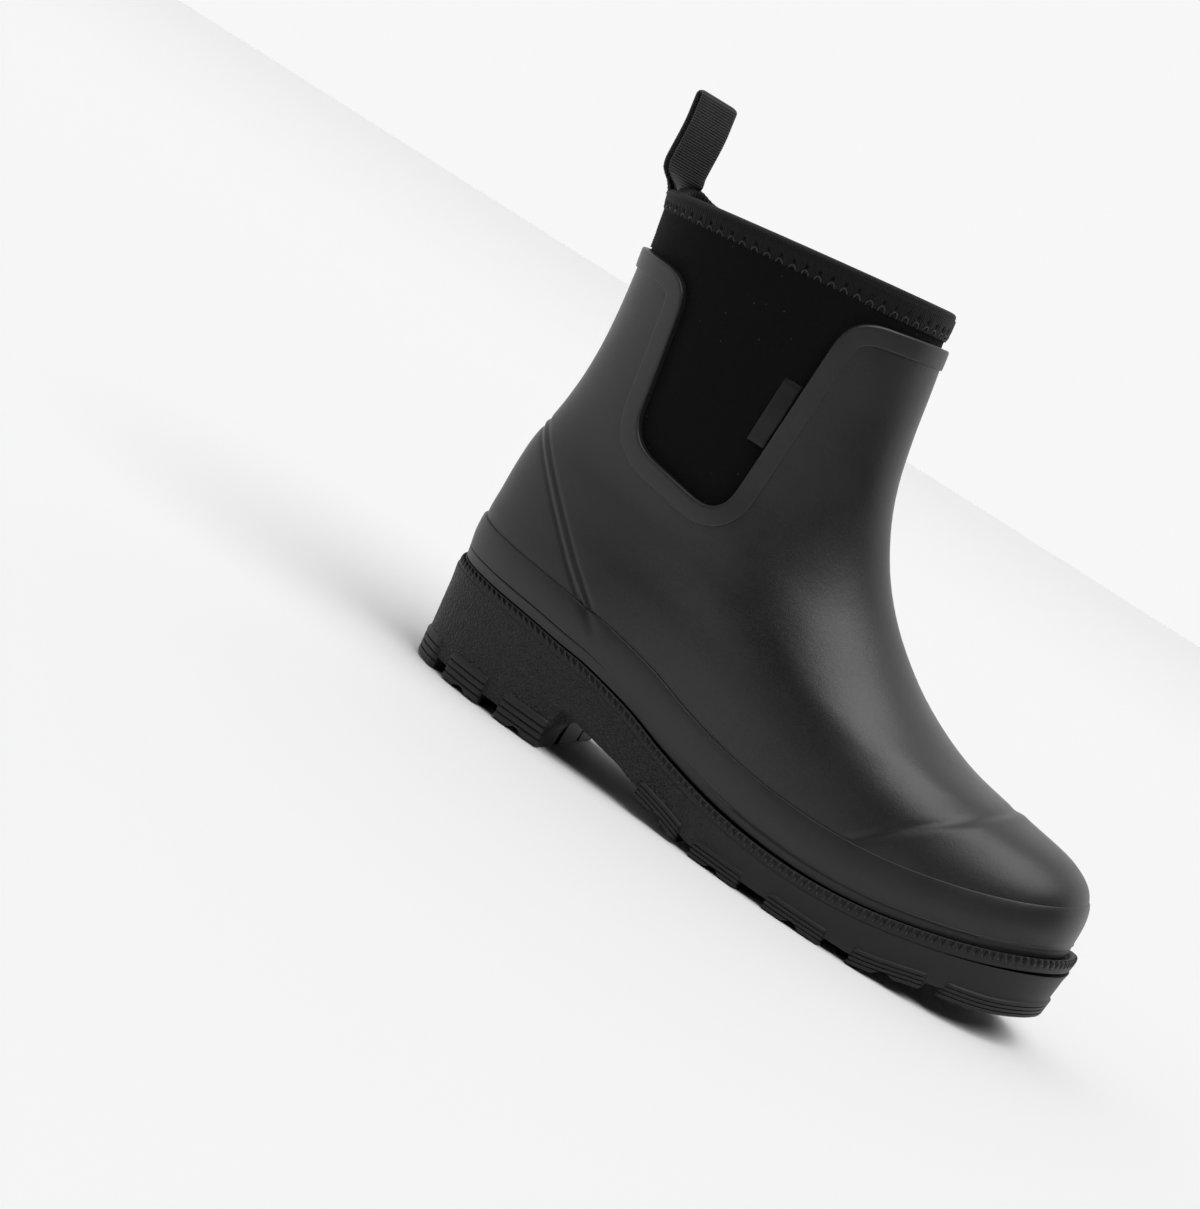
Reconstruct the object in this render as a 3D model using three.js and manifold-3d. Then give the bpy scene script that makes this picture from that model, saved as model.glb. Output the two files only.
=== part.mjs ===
// Ankle rain boot for the right foot, in millimetres, +Z up, toe along +X, inner side along +Y.
// Every curved piece is worked out from one surface: a stack of closed rings that climbs from the
// feather line, where the upper meets the sole, to the collar.
import * as THREE from 'three';
import { mergeVertices } from 'three/addons/utils/BufferGeometryUtils.js';
import Module from 'manifold-3d';

const wasm = await Module();
wasm.setup();

// Driving sizes of the last and the sole
const soleLength = 288;
const ballWidth = 106;
const heelTop = 43;
const ballTop = 17.4;
const toeTop = 38.5;
const instepHeight = 103.5;
const collarFront = 221.5;
const collarBack = 204.5;
const clearance = 0.3;

// Walls and overlays of the upper
const rubberWall = 2;
const linerWall = 3.5;
const randThickness = 1.7;
const capStep = 0.7;
const tapeThickness = 1.1;
const tapeWidth = 8;
const bindingThickness = 1.7;
const tagLength = 27;
const tagWidth = 7.5;
const tagThickness = 1.2;
const tagRise = 28;

// Elastic side panel
const goreBack = 38;
const goreBackLow = 45;
const goreFront = 94;
const goreFrontLow = 91;
const goreBottom = 114;
const goreCorner = 13;
const backStripDrop = 23.5;
const frontStripDrop = 14;
const frontStripWidth = 28;
const frontStripRise = 8;

// Pull loop
const webWidth = 20;
const webThickness = 1.6;
const loopRise = 39;
const loopLean = 6;
const loopTwist = THREE.MathUtils.degToRad(33);
const loopTail = 19;
const loopInside = 12;
const loopBend = 1.7;

// Sole
const weltReachHeel = 3.4;
const weltReachToe = 6.2;
const weltThickness = 3.4;
const insoleThickness = 7;
const shankHeight = 17.7;
const breastAt = 78;
const heelLugs = [{ start: 28, end: 48 }, { start: 56, end: breastAt }];
const heelLugInner = 17;
const foreLugInner = 19;
const padHalf = 12;
const padCentre = 42;
const heelArcs = [{ near: 15, far: 18 }, { near: 20.5, far: 25.5 }, { near: 28, far: 60 }];
const heelSlot = 1.6;
const notchHalf = 3.5;
const notchDepth = 1.8;
const lugDepth = 6.5;
const heelLugDepth = 11;
const archLift = 12.2;
const toeSpring = 16.5;
const grooveDepth = 0.7;
const sideStep = 0.5;
const lugLedge = 0.9;
const lugBevel = 1.2;
const sideSlope = 0.07;
const heelRake = 0.065;

// Mesh density: columns round the back and the front half of each ring
const backColumns = 26;
const frontColumns = 18;

// Height of the feather line along the sole, as shares of the rise to the heel and to the toe
const FEATHER = [
  { at: 0.00, heel: 1.000, toe: 0.000 },
  { at: 0.03, heel: 0.941, toe: 0.000 },
  { at: 0.09, heel: 0.895, toe: 0.000 },
  { at: 0.17, heel: 0.844, toe: 0.000 },
  { at: 0.23, heel: 0.777, toe: 0.000 },
  { at: 0.27, heel: 0.734, toe: 0.000 },
  { at: 0.35, heel: 0.547, toe: 0.000 },
  { at: 0.42, heel: 0.309, toe: 0.000 },
  { at: 0.50, heel: 0.117, toe: 0.000 },
  { at: 0.58, heel: 0.020, toe: 0.000 },
  { at: 0.66, heel: 0.000, toe: 0.000 },
  { at: 0.74, heel: 0.000, toe: 0.085 },
  { at: 0.82, heel: 0.000, toe: 0.280 },
  { at: 0.90, heel: 0.000, toe: 0.550 },
  { at: 1.00, heel: 0.000, toe: 1.000 },
];

// Rings of the last. level: way up. back, front: ends, shares of soleLength. rise: back end's share
// of the way to the back of the collar. instep, shaft: front end's shares of the way from toe to
// instep and from there to the collar. half: share of half the ball width. widest: where the ring
// is widest. rear, fore: roundness. outer, inner: waist on each side. swing: toe's turn inward,
// share of ballWidth. follow: how far the ring bends with the feather line. sag: how far its sides
// hang below its ends, share of ballWidth.
const RINGS = [
  { level: 0.00, back: 0.0250, front: 0.9790, rise: 0.000, sag: 0.000, instep: 0.000, shaft: 0.000,
    half: 0.896, widest: 0.66, rear: 2.6, fore: 2.4, outer: 0.17, inner: 0.36, swing: 0.066, follow: 1.00 },
  { level: 0.10, back: 0.0132, front: 0.9705, rise: 0.1115, sag: 0.019, instep: 0.330, shaft: 0.000,
    half: 0.902, widest: 0.66, rear: 2.6, fore: 2.4, outer: 0.13, inner: 0.26, swing: 0.066, follow: 1.00 },
  { level: 0.18, back: 0.0111, front: 0.9306, rise: 0.186, sag: 0.014, instep: 0.469, shaft: 0.000,
    half: 0.872, widest: 0.64, rear: 2.5, fore: 2.3, outer: 0.09, inner: 0.17, swing: 0.061, follow: 0.85 },
  { level: 0.26, back: 0.0097, front: 0.8472, rise: 0.254, sag: 0.008, instep: 0.535, shaft: 0.000,
    half: 0.823, widest: 0.62, rear: 2.4, fore: 2.2, outer: 0.06, inner: 0.10, swing: 0.057, follow: 0.60 },
  { level: 0.34, back: 0.0111, front: 0.7500, rise: 0.322, sag: 0.000, instep: 0.615, shaft: 0.000,
    half: 0.774, widest: 0.59, rear: 2.3, fore: 2.1, outer: 0.03, inner: 0.05, swing: 0.047, follow: 0.35 },
  { level: 0.42, back: 0.0174, front: 0.6632, rise: 0.384, sag: 0.000, instep: 0.777, shaft: 0.000,
    half: 0.736, widest: 0.56, rear: 2.2, fore: 2.1, outer: 0.01, inner: 0.02, swing: 0.038, follow: 0.15 },
  { level: 0.50, back: 0.0229, front: 0.5903, rise: 0.452, sag: 0.000, instep: 1.000, shaft: 0.000,
    half: 0.717, widest: 0.52, rear: 2.1, fore: 2.0, outer: 0.00, inner: 0.00, swing: 0.028, follow: 0.00 },
  { level: 0.58, back: 0.0264, front: 0.5365, rise: 0.532, sag: 0.000, instep: 1.000, shaft: 0.131,
    half: 0.708, widest: 0.50, rear: 2.1, fore: 2.0, outer: 0.00, inner: 0.00, swing: 0.019, follow: 0.00 },
  { level: 0.66, back: 0.0257, front: 0.4983, rise: 0.613, sag: 0.000, instep: 1.000, shaft: 0.271,
    half: 0.717, widest: 0.50, rear: 2.1, fore: 2.0, outer: 0.00, inner: 0.00, swing: 0.009, follow: 0.00 },
  { level: 0.74, back: 0.0215, front: 0.4722, rise: 0.697, sag: 0.000, instep: 1.000, shaft: 0.415,
    half: 0.736, widest: 0.50, rear: 2.1, fore: 2.0, outer: 0.00, inner: 0.00, swing: 0.000, follow: 0.00 },
  { level: 0.82, back: 0.0153, front: 0.4542, rise: 0.780, sag: 0.000, instep: 1.000, shaft: 0.576,
    half: 0.764, widest: 0.50, rear: 2.1, fore: 2.0, outer: 0.00, inner: 0.00, swing: 0.000, follow: 0.00 },
  { level: 0.90, back: 0.0076, front: 0.4392, rise: 0.870, sag: 0.000, instep: 1.000, shaft: 0.758,
    half: 0.792, widest: 0.50, rear: 2.1, fore: 2.0, outer: 0.00, inner: 0.00, swing: 0.000, follow: 0.00 },
  { level: 1.00, back: -0.0069, front: 0.4180, rise: 1.000, sag: 0.000, instep: 1.000, shaft: 1.000,
    half: 0.821, widest: 0.50, rear: 2.1, fore: 2.0, outer: 0.00, inner: 0.00, swing: 0.000, follow: 0.00 },
];

// Levels of the faceted rings of the upper, shared by all its layers so that their facets run parallel
const heelCupLevel = 0.05;
const randLevel = 0.10;
const instepLevel = 0.50;
const bindingLevel = 0.96;
const linerTopLevel = 0.985;
const ROWS = [0, heelCupLevel, randLevel, 0.16, 0.23, 0.30, 0.37, 0.44, 0.50, 0.58, 0.68, 0.80, 0.95];
const INNER_ROWS = ROWS.filter((level) => level !== heelCupLevel);
const LINING_ROWS = [0, randLevel, 0.23, 0.37, 0.50, 0.68];

// Underside of the tread: height as shares of the arch's lift and of the toe spring
const TREAD = [
  { at: 0.370, arch: 0.60, spring: 0.00 },
  { at: 0.420, arch: 0.50, spring: 0.00 },
  { at: 0.470, arch: 0.26, spring: 0.00 },
  { at: 0.520, arch: 0.00, spring: 0.00 },
  { at: 0.760, arch: 0.00, spring: 0.00 },
  { at: 0.865, arch: 0.00, spring: 0.37 },
  { at: 0.930, arch: 0.00, spring: 0.57 },
  { at: 0.975, arch: 0.00, spring: 0.84 },
  { at: 1.000, arch: 0.00, spring: 1.00 },
];

// Lugs of the forefoot: start and end along the sole, shares of soleLength, where they meet the edge
const FORE_LUGS = [
  { start: 0.416, end: 0.497 },
  { start: 0.520, end: 0.600 },
  { start: 0.640, end: 0.730 },
  { start: 0.768, end: 0.864 },
  { start: 0.884, end: 1.010 },
];

// Value of one column of a table at x, by cubic pieces through its rows
function column(table, key, name, x) {
  const last = table.length - 1;
  let i = 0;
  while (i < last - 1 && x > table[i + 1][key]) i += 1;
  const slope = (k) => {
    const a = table[Math.max(k - 1, 0)];
    const b = table[Math.min(k + 1, last)];
    return (b[name] - a[name]) / (b[key] - a[key]);
  };
  const p = table[i];
  const q = table[i + 1];
  const h = q[key] - p[key];
  const t = (x - p[key]) / h;
  const u = 1 - t;
  return p[name] * u * u * (1 + 2 * t) + q[name] * t * t * (3 - 2 * t)
    + h * t * u * (slope(i) * u - slope(i + 1) * t);
}

const share = (x) => THREE.MathUtils.clamp(x / soleLength, 0, 1);

// Height of the feather line at x
function featherAt(x) {
  return ballTop + (heelTop - ballTop) * column(FEATHER, 'at', 'heel', share(x))
    + (toeTop - ballTop) * column(FEATHER, 'at', 'toe', share(x));
}

// Point of the last's surface: level 0 feather line to 1 collar; angle 0 back, 90 degrees outer side,
// 180 toe or shin
function lastPoint(level, angle) {
  const get = (name) => column(RINGS, 'level', name, level);
  const toRear = Math.cos(angle) > 0;
  const outerSide = Math.sin(angle) > 0;
  const along = Math.min(Math.abs(Math.cos(angle)), 1);
  const power = toRear ? get('rear') : get('fore');
  const width = (1 - along ** power) ** (1 / power) * (outerSide ? 1 : -1);
  const widest = get('widest');
  const s = toRear ? widest - widest * along : widest + (1 - widest) * along;
  const waist = get(outerSide ? 'outer' : 'inner') * Math.exp(-(((s - 0.40) / 0.17) ** 2));
  const back = get('back') * soleLength;
  const front = get('front') * soleLength;
  const backZ = heelTop + get('rise') * (collarBack - heelTop);
  const frontZ = toeTop + get('instep') * (instepHeight - toeTop)
    + get('shaft') * (collarFront - instepHeight);
  const x = back + (front - back) * s;
  const turn = get('swing') * ballWidth * THREE.MathUtils.clamp((s - 0.35) / 0.65, 0, 1) ** 1.5;
  const y = -get('half') * (ballWidth / 2) * width * (1 - waist) + turn;
  const chord = THREE.MathUtils.lerp(featherAt(back), featherAt(front), s);
  const hang = get('sag') * ballWidth * Math.abs(width);
  const z = THREE.MathUtils.lerp(backZ, frontZ, s) + get('follow') * (featherAt(x) - chord) - hang;
  return new THREE.Vector3(x, y, z);
}

// The same point moved out by reach along the surface's normal; close to the feather line the move
// turns level and the point keeps to that line's height
function skin(level, angle, reach) {
  const step = 0.004;
  const p = lastPoint(level, angle);
  const round = lastPoint(level, angle + step).sub(lastPoint(level, angle - step));
  const climb = lastPoint(Math.min(level + step, 1), angle).sub(lastPoint(Math.max(level - step, 0), angle));
  const normal = round.cross(climb);
  const lift = THREE.MathUtils.clamp(level / randLevel, 0, 1);
  normal.normalize();
  normal.z *= lift;
  normal.normalize();
  const q = p.clone().addScaledVector(normal, reach);
  q.z += (1 - lift) * (featherAt(q.x) - featherAt(p.x));
  return q;
}

// Angles of the columns, evenly spread over the back half and over the front half
const half = Math.PI / 2;
const ANGLES = [];
for (let k = 0; k < backColumns / 2; k += 1) ANGLES.push((k * half) / (backColumns / 2));
for (let k = 0; k < frontColumns; k += 1) ANGLES.push(half + (k * Math.PI) / frontColumns);
for (let k = 0; k < backColumns / 2; k += 1) ANGLES.push(3 * half + (k * half) / (backColumns / 2));

const skinRing = (level, reach) => ANGLES.map((angle) => skin(level, angle, reach));

// Ring in plan round the last's feather line at a reach from it, its height given by a function of x
function soleRing(reachAt, heightAt) {
  return ANGLES.map((angle) => {
    const p = skin(0, angle, reachAt(lastPoint(0, angle).x));
    p.z = heightAt(p.x);
    return p;
  });
}

// Closed mesh from rings of equal count. Each four-sided facet is split along the diagonal that
// climbs with the count, whichever way the rings run, so that nested walls keep parallel facets.
// Looped: the last ring joins the first, a hollow wall.
// Capped: the first and last rings are closed by strips across them.
function ringMesh(rings, looped) {
  const n = rings[0].length;
  const points = rings.flat();
  const faces = [];
  const bands = looped ? rings.length : rings.length - 1;
  for (let r = 0; r < bands; r += 1) {
    const one = r * n;
    const two = ((r + 1) % rings.length) * n;
    const rising = points[two].z >= points[one].z;
    for (let k = 0; k < n; k += 1) {
      const next = (k + 1) % n;
      if (rising) faces.push(one + k, one + next, two + next, one + k, two + next, two + k);
      else faces.push(one + k, one + next, two + k, one + next, two + next, two + k);
    }
  }
  if (!looped) {
    const top = (rings.length - 1) * n;
    for (let k = 0; k < n / 2; k += 1) {
      const a = k;
      const b = k + 1;
      const c = n - k - 1;
      const d = (n - k) % n;
      if (a !== d) {
        faces.push(a, d, c);
        faces.push(top + a, top + c, top + d);
      }
      if (b !== c) {
        faces.push(a, c, b);
        faces.push(top + a, top + b, top + c);
      }
    }
  }
  const geometry = new THREE.BufferGeometry();
  geometry.setAttribute('position', new THREE.Float32BufferAttribute(points.flatMap((p) => p.toArray()), 3));
  geometry.setIndex(faces);
  return geometry;
}

// Joins and cuts
function toSolid(geometry) {
  const bare = geometry.clone();
  bare.deleteAttribute('normal');
  bare.deleteAttribute('uv');
  const merged = mergeVertices(bare, 1e-4);
  return new wasm.Manifold(new wasm.Mesh({
    numProp: 3,
    vertProperties: new Float32Array(merged.attributes.position.array),
    triVerts: new Uint32Array(merged.index.array),
  }));
}

function toGeometry(solid) {
  const mesh = solid.getMesh();
  const geometry = new THREE.BufferGeometry();
  geometry.setAttribute('position', new THREE.BufferAttribute(new Float32Array(mesh.vertProperties), 3));
  geometry.setIndex(Array.from(mesh.triVerts));
  return geometry;
}

const ringSolid = (rings, looped) => toSolid(ringMesh(rings, looped));
const joined = (solids) => solids.reduce((a, b) => a.add(b));

// Outline with rounded corners, given as corners { x, y, r }
function roundedShape(corners) {
  const shape = new THREE.Shape();
  const n = corners.length;
  corners.forEach((corner, i) => {
    const here = new THREE.Vector2(corner.x, corner.y);
    const before = new THREE.Vector2(corners[(i + n - 1) % n].x, corners[(i + n - 1) % n].y);
    const after = new THREE.Vector2(corners[(i + 1) % n].x, corners[(i + 1) % n].y);
    const enter = here.clone().addScaledVector(before.sub(here).normalize(), corner.r);
    const leave = here.clone().addScaledVector(after.sub(here).normalize(), corner.r);
    if (i === 0) shape.moveTo(enter.x, enter.y);
    else shape.lineTo(enter.x, enter.y);
    if (corner.r > 0) shape.quadraticCurveTo(here.x, here.y, leave.x, leave.y);
  });
  return shape;
}

// Upright prism of an outline drawn in side view, from y0 to y1
function sidePrism(shape, y0, y1, segments = 4) {
  const settings = { depth: y1 - y0, bevelEnabled: false, curveSegments: segments };
  const geometry = new THREE.ExtrudeGeometry(shape, settings);
  geometry.rotateX(Math.PI / 2);
  geometry.translate(0, y1, 0);
  return toSolid(geometry);
}

// Upright prism of an outline drawn in plan, from z0 to z1
function planPrism(shape, z0, z1, segments = 6) {
  const settings = { depth: z1 - z0, bevelEnabled: false, curveSegments: segments };
  const geometry = new THREE.ExtrudeGeometry(shape, settings);
  geometry.translate(0, 0, z0);
  return toSolid(geometry);
}

// Hollow wall between two reaches, over the levels of rows
function wall(rows, outerReach, innerReach, innerRows = rows) {
  const outer = rows.map((level) => skinRing(level, outerReach));
  const inner = [...innerRows].reverse().map((level) => skinRing(level, innerReach));
  return ringSolid([...outer, ...inner], true);
}

// Side outline of all that is cut away above the rubber: the elastic panel's window and the space over
// the back and front strips. A margin widens it, which gives the tape's lower edge.
const beyond = soleLength / 2;
const cornerLow = goreBottom - 3;
const cornerHigh = collarFront - frontStripDrop - 6;
const windowFrontAt = (z) => THREE.MathUtils.mapLinear(z, cornerLow, cornerHigh, goreFrontLow, goreFront);
const backStripTop = collarBack - backStripDrop;
const frontStripTop = collarFront - frontStripDrop;
function windowShape(margin) {
  const inner = Math.max(goreCorner - margin, 2);
  const outer = goreCorner + margin;
  const slope = (frontStripTop - backStripTop) / soleLength;
  return roundedShape([
    { x: -beyond, y: backStripTop - margin - beyond * slope * 0.1, r: 0 },
    { x: goreBack - 4 - margin, y: backStripTop - margin, r: inner },
    { x: goreBackLow - margin, y: goreBottom + 4 - margin, r: outer },
    { x: goreFrontLow + margin, y: cornerLow - margin, r: outer },
    { x: goreFront + margin, y: cornerHigh - margin, r: inner },
    { x: goreFront + frontStripWidth + margin, y: frontStripTop - margin, r: 0 },
    { x: goreFront + beyond, y: frontStripTop + frontStripRise - margin, r: 0 },
    { x: goreFront + beyond, y: collarFront + beyond, r: 0 },
    { x: -beyond, y: collarFront + beyond, r: 0 },
  ]);
}

// Toe cap and heel counter: regions in side view where the rubber is one step thicker
const capShape = () => roundedShape([
  { x: 0.650 * soleLength, y: 0.25 * instepHeight, r: 0 },
  { x: 1.050 * soleLength, y: 0.25 * instepHeight, r: 0 },
  { x: 1.050 * soleLength, y: instepHeight, r: 0 },
  { x: 0.937 * soleLength, y: instepHeight, r: 0 },
]);
const counterShape = () => roundedShape([
  { x: -0.1 * soleLength, y: 0.3 * instepHeight, r: 0 },
  { x: 0.345 * soleLength, y: 0.3 * instepHeight, r: 0 },
  { x: 0.018 * soleLength, y: 1.03 * instepHeight, r: 4 },
  { x: -0.1 * soleLength, y: 1.05 * instepHeight, r: 0 },
]);

const wide = ballWidth;

function makeUpper() {
  const shell = wall(ROWS, 0, -rubberWall, INNER_ROWS);
  const stepRows = ROWS.filter((level) => level > randLevel && level < 0.55);
  const steps = wall([randLevel + 0.014, ...stepRows], capStep, -rubberWall / 2);
  const cap = steps.intersect(sidePrism(capShape(), -wide, wide));
  const counter = steps.intersect(sidePrism(counterShape(), -wide, wide));
  return joined([shell, cap, counter]).subtract(sidePrism(windowShape(0), -wide, wide));
}

function makeTape() {
  const rows = ROWS.filter((level) => level >= instepLevel - 0.07);
  const skinOfTape = wall(rows, clearance + tapeThickness, clearance);
  return skinOfTape
    .intersect(sidePrism(windowShape(tapeWidth), -wide, wide))
    .subtract(sidePrism(windowShape(0), -wide, wide));
}

function makeRand() {
  const rows = ROWS.filter((level) => level <= randLevel);
  return wall(rows, clearance + randThickness, clearance);
}

const linerReach = -rubberWall - clearance;
function makeLiner() {
  return wall([...INNER_ROWS, linerTopLevel], linerReach, linerReach - linerWall,
    [...LINING_ROWS, linerTopLevel]);
}

// Binding: a channel over the liner's top edge
function makeBinding() {
  const outside = linerReach + clearance + bindingThickness;
  const inside = linerReach - linerWall - clearance - bindingThickness;
  const section = [
    [bindingLevel, outside],
    [1.000, outside],
    [1.000, inside],
    [bindingLevel, inside],
    [bindingLevel, inside + bindingThickness],
    [linerTopLevel + 0.0015, inside + bindingThickness],
    [linerTopLevel + 0.0015, outside - bindingThickness],
    [bindingLevel, outside - bindingThickness],
  ];
  return ringSolid(section.map(([level, reach]) => skinRing(level, reach)), true);
}

// Bare tag beside the front edge of the elastic panel, on the outer side
function makeTag() {
  const rows = ROWS.filter((level) => level > instepLevel);
  const low = goreBottom + tagRise;
  const high = low + tagLength;
  const outline = roundedShape([
    { x: windowFrontAt(low) - clearance - tagWidth, y: low, r: 0 },
    { x: windowFrontAt(low) - clearance, y: low, r: 0 },
    { x: windowFrontAt(high) - clearance, y: high, r: 0 },
    { x: windowFrontAt(high) - clearance - tagWidth, y: high, r: 0 },
  ]);
  return wall(rows, linerReach + clearance + tagThickness, linerReach + clearance)
    .intersect(sidePrism(outline, -wide, 0));
}

// Ribbon of webbing through stations { at, across, sag }: its edges lie sag ahead of its middle
function ribbon(stations, width, thickness) {
  const places = [-1, -0.4, 0.4, 1];
  const rings = stations.map(({ at, across, sag }, i) => {
    const before = stations[Math.max(i - 1, 0)].at;
    const after = stations[Math.min(i + 1, stations.length - 1)].at;
    const along = after.clone().sub(before).normalize();
    const up = along.clone().cross(across).normalize().multiplyScalar(thickness / 2);
    const line = places.map((place) => {
      const p = at.clone().addScaledVector(across, (place * width) / 2);
      p.x += sag * place * place;
      return p;
    });
    const under = line.map((p) => p.clone().sub(up));
    const over = line.map((p) => p.clone().add(up)).reverse();
    return [...under, ...over];
  });
  return ringSolid(rings, false);
}

// Root of a falling or rising function between two bounds
function solve(low, high, f) {
  let a = low;
  let b = high;
  for (let i = 0; i < 30; i += 1) {
    const m = (a + b) / 2;
    if (Math.sign(f(m)) === Math.sign(f(a))) a = m;
    else b = m;
  }
  return (a + b) / 2;
}

// Seat of the webbing at the back of the shaft, a height z and a reach: where its middle lies, and how
// far ahead of it the surface has turned under the webbing's edges
function webSeat(z, reach) {
  const level = solve(0.7, 1, (v) => lastPoint(v, 0).z - Math.min(z, collarBack));
  const edge = solve(0, half, (angle) => skin(level, angle, reach).y + webWidth / 2);
  const x = skin(level, 0, reach).x;
  return { x, sag: skin(level, edge, reach).x - x };
}

// Pull loop at the back of the collar: a tail sewn on outside, the loop, and a tail inside. It hugs the
// collar's curve below, and turns a little toward the outer side above.
function makeLoop() {
  const grip = clearance + webThickness / 2;
  const innerFace = linerReach - linerWall - clearance - bindingThickness;
  const rim = collarBack + 2 * clearance;
  const rimInside = skin(1, 0, innerFace).z + 3 * clearance;
  const top = collarBack + loopRise - webThickness / 2;
  const outerRim = webSeat(rim, 0);
  const innerRim = webSeat(rim, innerFace - clearance);
  const legSteps = 5;
  const stations = [];
  const middle = (outerRim.x + innerRim.x) / 2;
  const place = (apart, z, rise, sag) => {
    const turn = loopTwist * THREE.MathUtils.smoothstep(rise, 0.08, 0.4);
    const across = new THREE.Vector3(Math.sin(turn), Math.cos(turn), 0);
    const x = middle + apart * across.y - loopLean * rise;
    stations.push({ at: new THREE.Vector3(x, -apart * across.x, z), across, sag });
  };
  const leg = (start, low, side) => {
    const steps = [];
    for (let i = 0; i <= legSteps; i += 1) {
      const rise = i / legSteps;
      const drawn = Math.min(1.6 * rise, 1);
      const apart = THREE.MathUtils.lerp(start.x - middle + side * grip, side * loopBend, drawn);
      const z = THREE.MathUtils.lerp(low, top - loopBend, rise);
      steps.push([apart, z, rise, start.sag * (1 - drawn)]);
    }
    return steps;
  };
  [loopTail, loopTail / 2].forEach((drop) => {
    const seat = webSeat(collarBack - drop, 0);
    place(seat.x - middle - grip, collarBack - drop, 0, seat.sag);
  });
  leg(outerRim, rim, -1).forEach((step) => place(...step));
  for (let i = 1; i < 4; i += 1) {
    const turn = (i * Math.PI) / 4;
    place(-loopBend * Math.cos(turn), top - loopBend + loopBend * Math.sin(turn), 1, 0);
  }
  leg(innerRim, rimInside, 1).reverse().forEach((step) => place(...step));
  const foot = webSeat(collarBack - loopInside, innerFace - clearance);
  place(foot.x - middle + grip, collarBack - loopInside, 0, foot.sag);
  return ribbon(stations, webWidth, webThickness);
}

const weltReachAt = (x) => THREE.MathUtils.lerp(
  weltReachHeel,
  weltReachToe,
  THREE.MathUtils.smoothstep(share(x), 0.1, 0.6),
);
const weltTop = (x) => featherAt(x) - clearance;
const weltUnder = (x) => weltTop(x) - weltThickness;
const soleTop = (x) => weltUnder(x) - clearance;

// Welt: the rim that runs all round on the sole, its outer edge rounded
function makeWelt() {
  const inner = linerReach - linerWall - clearance;
  const middle = (x) => (weltTop(x) + weltUnder(x)) / 2;
  const rounding = 1;
  return ringSolid([
    soleRing((x) => weltReachAt(x) - rounding, weltUnder),
    soleRing(weltReachAt, middle),
    soleRing((x) => weltReachAt(x) - rounding, weltTop),
    soleRing(() => inner, weltTop),
    soleRing(() => inner, weltUnder),
  ], true);
}

function makeInsole() {
  const reach = linerReach - linerWall - 2 * clearance;
  return ringSolid([
    soleRing(() => reach, weltUnder),
    soleRing(() => reach, (x) => weltUnder(x) + insoleThickness),
  ], false);
}

const onHeel = (x) => 1 - THREE.MathUtils.smoothstep(share(x), 0.33, 0.37);
function treadAt(x) {
  const s = Math.max(share(x), TREAD[0].at);
  const lift = archLift * column(TREAD, 'at', 'arch', s) + toeSpring * column(TREAD, 'at', 'spring', s);
  return Math.max(lift, 0) * (1 - onHeel(x));
}
const lugTopAt = (x) => THREE.MathUtils.lerp(lugDepth, heelLugDepth, onHeel(x));

// Underside of the sole's plate between the lugs: the shank falls from the breast to the forefoot
function baseAt(x) {
  const fall = THREE.MathUtils.smoothstep(share(x), 0.27, 0.40);
  const start = TREAD[1].at * soleLength;
  const front = treadAt(Math.max(x, start)) + lugDepth;
  return THREE.MathUtils.lerp(shankHeight, front, fall);
}

// Ring of the sole's side at a height: the side leans in as it goes down, and the heel's back more so
function sideRing(heightAt, extra) {
  return ANGLES.map((angle) => {
    const x = lastPoint(0, angle).x;
    const drop = soleTop(x) - heightAt(x);
    const p = skin(0, angle, weltReachAt(x) - sideStep - sideSlope * drop + extra);
    p.x += heelRake * drop * (1 - THREE.MathUtils.smoothstep(share(p.x), 0, 0.15));
    p.z = heightAt(p.x);
    return p;
  });
}

// Upright prism of a plan outline, through the whole depth of the tread
const under = -lugDepth;
const lugPrism = (shape, segments) => planPrism(shape, under, heelTop, segments);

// Lug between two places along the sole, from the edge inward on one side (-1 outer), narrower inside
function edgeLug(start, end, side, innerY, taper) {
  return lugPrism(roundedShape([
    { x: start, y: side * wide, r: 0 },
    { x: end, y: side * wide, r: 0 },
    { x: end - taper, y: side * innerY, r: 0 },
    { x: start + taper, y: side * innerY, r: 0 },
  ]));
}

// Chevron pad on the middle of the forefoot
function chevron(start, end) {
  const gap = padHalf / 4;
  const tip = Math.min(end + gap, 0.96 * soleLength);
  return lugPrism(roundedShape([
    { x: start + gap, y: -padHalf, r: 0 },
    { x: end - gap, y: -padHalf, r: 0 },
    { x: tip, y: 0, r: 0 },
    { x: end - gap, y: padHalf, r: 0 },
    { x: start + gap, y: padHalf, r: 0 },
    { x: start + 3 * gap, y: 0, r: 0 },
  ]));
}

// Round-ended pad on the middle of the heel
function heelPad() {
  const shape = new THREE.Shape();
  shape.moveTo(breastAt, -padHalf);
  shape.lineTo(breastAt, padHalf);
  shape.lineTo(padCentre, padHalf);
  shape.absarc(padCentre, 0, padHalf, half, 3 * half, false);
  return lugPrism(shape, 6);
}

// Arc round the heel pad on one side, clear of the slot along the middle of the heel's back
function heelArc({ near, far }, side) {
  const sideClear = 0.5;
  const slot = heelSlot / near;
  const from = side > 0 ? half + sideClear : Math.PI + slot;
  const to = side > 0 ? Math.PI - slot : 3 * half - sideClear;
  const shape = new THREE.Shape();
  shape.absarc(padCentre, 0, near, from, to, false);
  shape.absarc(padCentre, 0, far, to, from, true);
  return lugPrism(shape, 5);
}

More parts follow.
